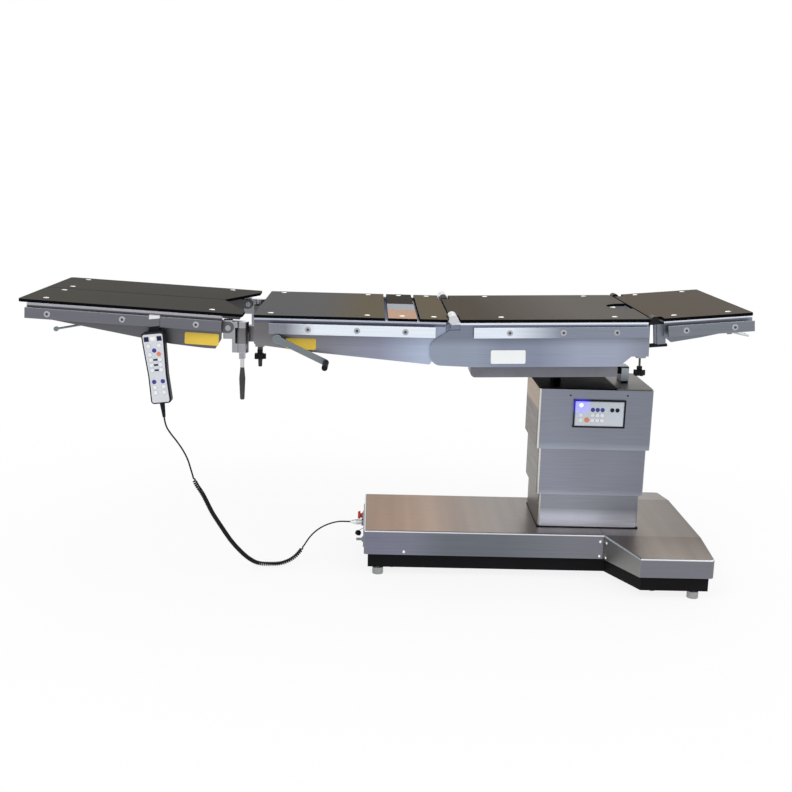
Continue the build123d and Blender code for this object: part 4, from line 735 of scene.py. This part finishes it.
# Zinc, with painted shade on faces towards the leg end and painted highlights on upper faces and edges
zinc = brushed("zinc", (0.34, 0.345, 0.37), 0.26, grain_upright, left=painted_facing_tone((0.10, 0.10, 0.11)),
               top=top_highlight, edge=2.4)
skirt_black = plastic("skirt black", (0.005, 0.005, 0.006), 0.45, 500.0, skirt_depth, gloss=0.08)
dark_metal = plastic("dark metal", (0.008, 0.008, 0.009), 0.4, gloss=0.15)
saddle_paint = plastic("saddle paint", (0.17, 0.17, 0.20), 0.42, 900.0, metallic=0.4)
frame_paint = plastic("frame paint", (0.14, 0.145, 0.15), 0.5)
black_plastic = plastic("black plastic", (0.007, 0.007, 0.008), 0.42, gloss=0.12)
red_plastic = plastic("red plastic", (0.58, 0.03, 0.02), 0.28)
tyre_rubber = plastic("tyre rubber", (0.33, 0.30, 0.25), 0.6)
foot_metal = plastic("foot metal", (0.30, 0.31, 0.31), 0.4, metallic=0.6)
cord_rubber = plastic("cord rubber", (0.006, 0.006, 0.0065), 0.46, 900.0, gloss=0.2)
white_plate = plastic("white plate", (0.82, 0.84, 0.85), 0.35, wear=0.03)
yellow_plate = plastic("yellow plate", (0.72, 0.50, 0.05), 0.45, wear=0.1)
film_grey = plastic("film grey", (0.60, 0.62, 0.66), 0.38, 1800.0, film_depth, wear=0.05)
key_blue = plastic("key blue", (0.022, 0.026, 0.24), 0.35)
key_black = plastic("key black", (0.006, 0.006, 0.012), 0.35, gloss=0.2)
key_pale = plastic("key pale", (0.74, 0.76, 0.79), 0.4, wear=0.05)
key_outline = plastic("key outline", (0.30, 0.32, 0.37), 0.45)
key_orange = plastic("key orange", (0.62, 0.20, 0.10), 0.4)
key_navy = plastic("key navy", (0.008, 0.010, 0.045), 0.35, gloss=0.2)
socket_dark = plastic("socket dark", (0.010, 0.010, 0.011), 0.5, gloss=0.2)
socket_grey = plastic("socket grey", (0.055, 0.057, 0.065), 0.4, metallic=0.5)
lamp_blue = lamp_glow()
panel_film = lit_by_lamp("panel film", (0.58, 0.62, 0.68), (0.36, 0.36, 1.0), 0.45)
bezel_black = lit_by_lamp("panel bezel", (0.008, 0.008, 0.010), (0.03, 0.02, 0.60), 0.6)
# The boards' tones change along them as painted sheen; the bridge laminate is black with a tan painted
# reflection on its near side
leg_board = laminate("leg board laminate", (0.060, 0.057, 0.048), (0.052, 0.050, 0.045), leg_at, leg_change)
seat_board = laminate("seat board laminate", (0.098, 0.098, 0.101), (0.111, 0.091, 0.058), seat_at,
                      seat_change)
back_board = laminate("back board laminate", (0.067, 0.055, 0.041), (0.122, 0.110, 0.098), back_at,
                      back_change)
head_board = laminate("head board laminate", (0.103, 0.086, 0.066), (0.103, 0.090, 0.074), head_at,
                      head_change)
bridge_board = laminate("bridge laminate", (0.46, 0.30, 0.21), (0.025, 0.017, 0.011), seat_at,
                        bridge_change, "Y")

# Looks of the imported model's own pieces, by how their names start
looks = (("plinth_cover", cover_steel), ("foot_cover", cover_steel), ("lower_shroud", lower_steel),
         ("middle_shroud", middle_steel), ("upper_shroud", upper_steel), ("end_panel", steel),
         ("back_frame", back_steel), ("seat_frame", seat_steel), ("head_frame", head_steel),
         ("leg_frame", leg_steel), ("kidney_bridge", bridge_steel), ("crank_arm", crank_steel),
         ("crank_grip", black_plastic), ("head_release_loop", chrome), ("leg_release_rod", crank_steel),
         ("lift_ram", chrome), ("back_rails", back_rail_steel), ("seat_rails", seat_rail_steel),
         ("head_rails", head_rail_steel), ("leg_rail", leg_rail_steel), ("base_skirt", skirt_black),
         ("base_chassis", frame_paint), ("power_pack", frame_paint), ("lift_cylinder", frame_paint),
         ("lock_feet", foot_metal), ("column_cap", lid_material()), ("roll_cradle", dark_metal),
         ("pitch_saddle", saddle_paint), ("leg_hinge", zinc), ("back_board", back_board),
         ("seat_boards", seat_board), ("bridge_boards", bridge_board), ("head_board", head_board),
         ("leg_board", leg_board), ("control_panel", panel_film), ("stop_button", red_plastic),
         ("handset", handset_shell()), ("cord_connector", nickel), ("caster_wheel", tyre_rubber),
         ("caster_fork", frame_paint))


def dress():
    for name, thing in nodes.items():
        look = next((look for start, look in looks if name.startswith(start)), None)
        if "_knob_" in name:
            look = split_metal("knob " + name, (0.005, 0.005, 0.006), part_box(name)[0][2] + knob_high,
                               (0.08, 0.08, 0.085), 0.35)
        elif name.startswith("leg_lever"):
            look = split_metal("lever " + name, (0.05, 0.05, 0.052), lever_split, (0.62, 0.62, 0.62), 0.25)
        if look:
            thing.data.materials.clear()
            thing.data.materials.append(look)


# Mesh helpers

def placed(name, data):
    """A new object in the scene."""
    thing = bpy.data.objects.new(name, data)
    bpy.context.scene.collection.objects.link(thing)
    return thing


def piece(name, mesh, look, body):
    """A finished mesh piece that rides on a body."""
    made = bpy.data.meshes.new(name)
    mesh.normal_update()
    mesh.to_mesh(made)
    mesh.free()
    for face in made.polygons:
        face.use_smooth = True
    made.set_sharp_from_angle(angle=radians(smooth_angle))
    for one in (look if isinstance(look, tuple) else (look,)):
        made.materials.append(one)
    thing = placed(name, made)
    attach(thing, body)


def turned(shares, radius, height):
    """A turned form's profile from shares of its radius and height."""
    return [(across * radius, up * height) for across, up in shares]


def add_turned(mesh, profile, place, facets=lathe_facets, dark_from=None):
    """Adds a turned form: radius and height pairs, from the outer edge to the middle."""
    rings = []
    for radius, height in profile:
        angles = [2 * pi * i / facets for i in range(facets if radius else 1)]
        rings.append([mesh.verts.new(place @ Vector((radius * cos(angle), radius * sin(angle), height)))
                      for angle in angles])
    for count, (outer, inner) in enumerate(zip(rings, rings[1:])):
        for i in range(facets):
            j = (i + 1) % facets
            if len(inner) == 1:
                face = mesh.faces.new((outer[i], outer[j], inner[0]))
            elif len(outer) == 1:
                face = mesh.faces.new((outer[0], inner[j], inner[i]))
            else:
                face = mesh.faces.new((outer[i], outer[j], inner[j], inner[i]))
            face.material_index = 1 if dark_from is not None and count >= dark_from else 0


def turned_piece(name, profile, places, look, body, slot, **form):
    """A piece of equal turned forms, one at each place."""
    mesh = bmesh.new()
    for place in places:
        add_turned(mesh, profile, place, **form)
    piece(name, mesh, look, body)


def add_box(mesh, low, high, place, edge=0.0):
    """Adds a box between two corners with rounded edges."""
    made = bmesh.new()
    bmesh.ops.create_cube(made, size=1.0)
    size = [b - a for a, b in zip(low, high)]
    middle = [(a + b) / 2 for a, b in zip(low, high)]
    fit = Matrix.Translation(middle) @ Matrix.Diagonal((*size, 1))
    bmesh.ops.transform(made, matrix=fit, verts=made.verts)
    if edge > 0:
        bmesh.ops.bevel(made, geom=made.edges[:], offset=edge, segments=box_steps, profile=0.5,
                        affect="EDGES")
    bmesh.ops.transform(made, matrix=place, verts=made.verts)
    join(mesh, made)


def join(mesh, other):
    """Adds another mesh to this one."""
    kept = bpy.data.meshes.new("joined")
    other.to_mesh(kept)
    other.free()
    mesh.from_mesh(kept)
    bpy.data.meshes.remove(kept)


def add_sheet(mesh, outline, thick, place, corner):
    """Adds a thin sheet from outline points in the section's X and Z, its face towards -Y."""
    made = bmesh.new()
    made.faces.new([made.verts.new((x, 0, z)) for x, z in outline])
    bmesh.ops.bevel(made, geom=list(made.verts), offset=corner, segments=corner_steps, profile=0.5,
                    affect="VERTICES")
    top = bmesh.ops.extrude_face_region(made, geom=made.faces[:])
    moved = [v for v in top["geom"] if isinstance(v, bmesh.types.BMVert)]
    bmesh.ops.translate(made, vec=(0, -thick, 0), verts=moved)
    bmesh.ops.recalc_face_normals(made, faces=made.faces[:])
    bmesh.ops.transform(made, matrix=place, verts=made.verts)
    join(mesh, made)


def facing(place, x, y, z, side):
    """A place on a side face, its own Z pointing away from the table."""
    return place @ Matrix.Translation((x, y, z)) @ Matrix.Rotation(radians(-90 * side), 4, "X")


def touching(thing, x, z, side):
    """A place on a base piece's outer surface, its own Z pointing outwards."""
    _, spot, outwards, _ = thing.ray_cast(base_at @ Vector((x, side * far_away, z)), Vector((0, -side, 0)))
    return Matrix.Translation(spot) @ outwards.to_track_quat("Z", "Y").to_matrix().to_4x4()


def both_sides(near, far):
    """The stretches between two distances from the middle, on the near side and on the far side."""
    return (-far, -near), (near, far)


# Small fasteners

def rail_bolts():
    for name, place, bolts, rise in (("back", back_at, back_bolts, 0), ("seat", seat_at, seat_bolts, 0),
                                     ("head", head_at, head_bolts, head_rise),
                                     ("leg", leg_at, leg_bolts, leg_rise)):
        for label, side in sides:
            spots = [facing(place, x, side * rail_face, rise - rail_depth, side) for x in bolts]
            body = "leg_" + label if name == "leg" else name
            turned_piece(f"{name}_rail_bolts_{label}", bolt_profile, spots, (bolt_metal, socket_grey), body,
                         "rail_steel", dark_from=socket_ring)


def studs(name, place, spots, rise, body):
    """Snap studs on a board that hold its pad."""
    places = [place @ Matrix.Translation((x, y, rise)) for x, y in spots]
    turned_piece(name, turned(stud_shares, stud_radius, stud_height), places, nickel, body, "rail_steel")


def board_studs():
    for body, place, spots, rise in (("back", back_at, back_studs, 0), ("seat", seat_at, seat_studs, 0),
                                     ("bridge", seat_at, bridge_studs, 0),
                                     ("head", head_at, head_studs, head_rise)):
        studs(body + "_studs", place, [(x, y) for x in spots for y in stud_sides], rise, body)
    for label, side in sides:
        spots = [(x, side * y) for x, y in leg_studs]
        studs("leg_studs_" + label, leg_at, spots, leg_rise, "leg_" + label)


def base_screws():
    profile = turned(screw_shares, screw_radius, screw_height)
    for label, side in sides:
        spots = [facing(base_at, x, side * plinth_face, z, side) for x, z in cover_screws]
        spots += [touching(nodes["foot_cover"], x, z, side) for x, z in foot_screws]
        turned_piece("cover_screws_" + label, profile, spots, nickel, "base", "rail_steel")


def blank_plates():
    spots = (("maker_plate", back_at, maker_plate, back_face, 0, white_plate, "back"),
             ("seat_plate", seat_at, seat_plate, seat_face, 0, yellow_plate, "seat"),
             ("leg_plate", leg_at, leg_plate, leg_face, leg_rise, yellow_plate, "leg_front"))
    for name, place, (left, right, high, low), face, rise, look, body in spots:
        mesh = bmesh.new()
        outline = [(x, rise + z) for x, z in ((left, low), (right, low), (right, high), (left, high))]
        add_sheet(mesh, outline, plate_thick, place @ Matrix.Translation((0, -face, 0)), plate_corner)
        piece("blank_" + name, mesh, look, body)


# Control panel and handset

def keys(place, face, body, rows):
    """Round raised keys on a film that faces the near side."""
    for name, spots, radius, height, look in rows:
        places = [facing(place, x, -face, z, -1) for x, z in spots]
        turned_piece(name, turned(key_shares, radius, height), places, look, body, "panel_film",
                     facets=key_facets)


def control_panel():
    left = panel_left + bezel_width
    right = panel_right - bezel_width
    low = panel_low + bezel_width
    high = panel_high - bezel_width
    mesh = bmesh.new()
    for x0, z0, x1, z1 in ((panel_left, low, left, high), (right, low, panel_right, high),
                           (panel_left, panel_low, panel_right, low),
                           (panel_left, high, panel_right, panel_high)):
        add_box(mesh, (x0, -film_face - bezel_proud, z0), (x1, -upper_face, z1), base_at, proud)
    piece("panel_bezel", mesh, bezel_black, "lift")
    keys(base_at, film_face, "lift", (
        ("panel_keys_blue", blue_keys, key_radius, key_height, key_blue),
        ("panel_keys_black", black_keys, key_radius, key_height, key_black),
        ("panel_keys_pale", pale_keys, key_radius, key_height, key_pale),
        ("panel_key_rims", pale_keys, key_radius + key_rim, key_rim_height, key_outline),
        ("panel_key_orange", (orange_key,), orange_radius, key_height, key_orange),
        ("panel_lamp", (lamp_place,), lamp_radius, key_height, lamp_blue)))
    profile = turned(screw_shares, panel_screw_share * screw_radius, panel_screw_share * screw_height)
    places = [facing(base_at, x, -upper_face, z, -1) for x, z in panel_screws]
    turned_piece("panel_screws", profile, places, socket_dark, "lift", "dark_metal")


def add_tiles(mesh, spots, half, face, height, edge):
    """Adds small raised rectangles on the handset's film."""
    for x, z in spots:
        add_box(mesh, (x - half[0], -face - height, z - half[1]), (x + half[0], -face, z + half[1]),
                handset_at, edge)


def handset():
    left = [(handset_margin - half, -share * handset_length) for half, share in handset_halves]
    left[0] = (left[0][0], -handset_margin)
    left[-1] = (left[-1][0], handset_margin - handset_length)
    right = [(-x, z) for x, z in reversed(left)]
    mesh = bmesh.new()
    spot = handset_at @ Matrix.Translation((0, film_sink - handset_face, 0))
    add_sheet(mesh, left + right, film_thick, spot, film_corner)
    piece("handset_film", mesh, film_grey, "handset")
    face = handset_face + film_thick - film_sink
    keys(handset_at, face, "handset", (
        ("handset_keys_pale", handset_pale, handset_key, key_height, key_pale),
        ("handset_key_rims", handset_pale, handset_key + key_rim, key_rim_height, key_outline),
        ("handset_keys_blue", handset_blue, handset_key, key_height, key_blue),
        ("handset_key_orange", (handset_orange,), handset_key, key_height, key_orange)))
    mesh = bmesh.new()
    add_tiles(mesh, handset_squares, square_half, face, key_height, proud)
    add_tiles(mesh, handset_bars, bar_half, face, bar_height, tile_edge)
    piece("handset_squares", mesh, key_navy, "handset")
    mesh = bmesh.new()
    add_tiles(mesh, (handset_window,), window_half, face, key_rim_height, tile_edge)
    piece("handset_window", mesh, white_plate, "handset")


# Trim of the base and the head section

def base_trim():
    """A gasket round the column's foot and the dark seam between the base's covers."""
    half_x = (column_high[0] - column_low[0]) / 2
    half_y = (column_high[1] - column_low[1]) / 2
    wide_x = half_x + gasket_wide
    mesh = bmesh.new()
    for (y0, y1), (x0, x1) in zip(both_sides(half_y, half_y + gasket_wide), both_sides(half_x, wide_x)):
        add_box(mesh, (-wide_x, y0, base_top), (wide_x, y1, base_top + gasket_high), base_at, proud)
        add_box(mesh, (x0, -half_y, base_top), (x1, half_y, base_top + gasket_high), base_at, proud)
    piece("column_gasket", mesh, black_plastic, "base")
    mesh = bmesh.new()
    x0 = seam_x - seam_half
    x1 = seam_x + seam_half
    for (y0, y1), (y2, y3) in zip(both_sides(plinth_face - seam_sink, plinth_face + seam_proud),
                                  both_sides(half_y, plinth_face - seam_margin)):
        add_box(mesh, (x0, y0, steel_bottom), (x1, y1, base_top - seam_margin), base_at)
        add_box(mesh, (x0, y2, base_top - seam_sink), (x1, y3, base_top + seam_proud), base_at)
    piece("cover_seam", mesh, socket_dark, "base")


def end_trim():
    """The dust cap on its lanyard, and rings round the stop button and the connector."""
    place = base_at @ Matrix.Translation(cap_place) @ Matrix.Rotation(radians(cap_lean), 4, "Y")
    turned_piece("dust_cap", turned(cap_shares, cap_radius, cap_length), (place,), black_plastic, "base",
                 "black_plastic")
    points = [from_column(p) for p in lanyard]
    thing = cable("dust_cap_lanyard", points, lanyard_radius, lanyard_steps, black_plastic)
    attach(thing, "base")
    turn = Matrix.Rotation(radians(-90), 4, "Y")
    place = base_at @ Matrix.Translation(stop_place) @ turn
    turned_piece("stop_ring", stop_ring, (place,), yellow_plate, "base", "red_plastic")
    place = base_at @ Matrix.Translation(socket_place) @ turn
    places = [place @ Matrix.Translation((0, 0, start)) for start in connector_rings]
    turned_piece("connector_rings", connector_ring, places, nickel, "base", "rail_steel")


def head_trim():
    """Black shells on the clamps under the head section."""
    mesh = bmesh.new()
    for y0, y1 in both_sides(*shell_y):
        add_box(mesh, (shell_x[0], y0, shell_z[0]), (shell_x[1], y1, shell_z[1]), head_at, shell_edge)
    piece("head_clamp_shells", mesh, black_plastic, "head")


# Cord

def from_column(point):
    """A place from a point in thousandths from the column's axis."""
    x, y, z = point
    return Vector((column_x + x * mm, column_y + y * mm, z * mm))


def spline_curve(name, points, steps):
    """A curve with one smooth spline through a route."""
    curve = bpy.data.curves.new(name, "CURVE")
    curve.dimensions = "3D"
    spline = curve.splines.new("NURBS")
    spline.points.add(len(points) - 1)
    for place, target in zip(points, spline.points):
        target.co = (*place, 1)
    spline.order_u = 3
    spline.use_endpoint_u = True
    spline.resolution_u = steps
    return curve


def cable(name, points, radius, steps, look):
    """A round line through a route."""
    curve = spline_curve(name, points, steps)
    curve.bevel_depth = radius
    curve.bevel_resolution = cord_facets
    curve.use_fill_caps = True
    curve.materials.append(look)
    return placed(name, curve)


def route_line(points):
    """The points of the smooth line that a route's spline gives."""
    curve = spline_curve("route", points, route_steps)
    holder = placed("route", curve)
    flat = bpy.data.meshes.new_from_object(holder)
    line = [v.co.copy() for v in flat.vertices]
    bpy.data.objects.remove(holder)
    bpy.data.curves.remove(curve)
    bpy.data.meshes.remove(flat)
    return line


def along_line(line, shares):
    """Places at shares of a line's length, each with a frame that doesn't twist about it."""
    reaches = [0.0]
    for a, b in zip(line, line[1:]):
        reaches.append(reaches[-1] + (b - a).length)
    frames = []
    side = None
    index = 0
    for share in shares:
        target = share * reaches[-1]
        while index < len(line) - 2 and reaches[index + 1] < target:
            index += 1
        step = line[index + 1] - line[index]
        place = line[index] + step * ((target - reaches[index]) / (reaches[index + 1] - reaches[index]))
        ahead = step.normalized()
        side = ahead.cross(Vector((0, 0, 1))) if side is None else side
        side = (side - ahead * side.dot(ahead)).normalized()
        frames.append((place, side, ahead.cross(side)))
    return frames


def curl_line(line):
    """The helix round a line: its turns grow out of the middle at both ends."""
    count = curl_count * curl_points
    ends = [min(i, count - i) / curl_points / curl_settle for i in range(count + 1)]
    rises = [1 + curl_ease_share * max(0, 1 - (a + b) / 2) for a, b in zip(ends, ends[1:])]
    shares = [sum(rises[:i]) / sum(rises) for i in range(count + 1)]
    pulled_in = (3 + cos(2 * pi / curl_points)) / 4
    turns = []
    for i, (place, side, other) in enumerate(along_line(line, shares)):
        share = min(1, ends[i])
        out = curl_reach / pulled_in * share ** 2 * (3 - 2 * share)
        angle = 2 * pi * i / curl_points
        turns.append(place + side * (out * cos(angle)) + other * (out * sin(angle)))
    return turns


def middle_of(a, b):
    return tuple((p + q) / 2 for p, q in zip(a, b))


def cord():
    upper_end = middle_of(upper_route[-1], curl_route[0])
    curl_end = middle_of(curl_route[-1], lower_route[0])
    line = route_line([from_column(p) for p in (upper_end, *curl_route, curl_end)])
    points = [from_column(p) for p in (*cord_start, *upper_route)]
    points += curl_line(line)
    points += [from_column(p) for p in (*lower_route, *cord_end)]
    thing = cable("handset_cord", points, wire_radius, cord_steps, cord_rubber)
    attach(thing, "base")
    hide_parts("cord_upper_lead", "cord_curls", "cord_lower_lead")


# Stage, light and camera

def stage():
    mesh = bmesh.new()
    bmesh.ops.create_grid(mesh, x_segments=1, y_segments=1, size=floor_half)
    bmesh.ops.translate(mesh, vec=(0, 0, -floor_drop), verts=mesh.verts)
    made = bpy.data.meshes.new("floor")
    mesh.to_mesh(made)
    mesh.free()
    look = material("floor white", (floor_white,) * 3, 0.9, Specular_IOR_Level=0.0)
    spot = node(look, "TexCoord").outputs["Object"]
    away = combine(look, "VectorMath", "LENGTH", spot, (0, 0, 0))
    shine = spread(look, away, floor_near, floor_far, floor_shine, 1.0)
    mix = node(look, "MixShader")
    link(look, combine(look, "Math", "MULTIPLY", seen_directly(look), shine), mix.inputs["Fac"])
    link(look, look.node_tree.nodes["Principled BSDF"].outputs["BSDF"], mix.inputs[1])
    link(look, node(look, "Emission").outputs["Emission"], mix.inputs[2])
    link(look, mix.outputs["Shader"], look.node_tree.nodes["Material Output"].inputs["Surface"])
    made.materials.append(look)
    placed("floor", made)


def world():
    sky = bpy.data.worlds.new("studio")
    bpy.context.scene.world = sky
    sky.use_nodes = True
    backdrop = sky.node_tree.nodes["Background"].inputs
    backdrop["Color"].default_value = (1, 1, 1, 1)
    link(sky, spread(sky, seen_directly(sky), 0.0, 1.0, world_fill, world_white), backdrop["Strength"])


def light():
    for name, place, size, power in lamps:
        lamp = bpy.data.lights.new(name, "AREA")
        lamp.energy = power
        lamp.shape = "DISK"
        lamp.size = size
        thing = placed(name, lamp)
        thing.location = place
        aim = Vector(lamp_target) - Vector(place)
        thing.rotation_euler = aim.to_track_quat("-Z", "Y").to_euler()


def camera():
    lens = bpy.data.cameras.new("camera")
    lens.lens = camera_lens
    lens.sensor_width = camera_sensor
    thing = placed("camera", lens)
    level = cos(camera_pitch)
    ahead = Vector((sin(camera_yaw) * level, cos(camera_yaw) * level, sin(camera_pitch)))
    right = Vector((cos(camera_yaw), -sin(camera_yaw), 0))
    up = right.cross(ahead)
    rolled_right = right * cos(camera_roll) + up * sin(camera_roll)
    rolled_up = up * cos(camera_roll) - right * sin(camera_roll)
    turn = Matrix((rolled_right, rolled_up, -ahead)).transposed().to_4x4()
    thing.matrix_world = base_at @ Matrix.Translation(camera_place) @ turn
    bpy.context.scene.camera = thing
    bpy.context.scene.view_settings.view_transform = "Standard"


camera()
cord()
dress()
rail_bolts()
board_studs()
base_screws()
blank_plates()
control_panel()
handset()
base_trim()
end_trim()
head_trim()
stage()
world()
light()
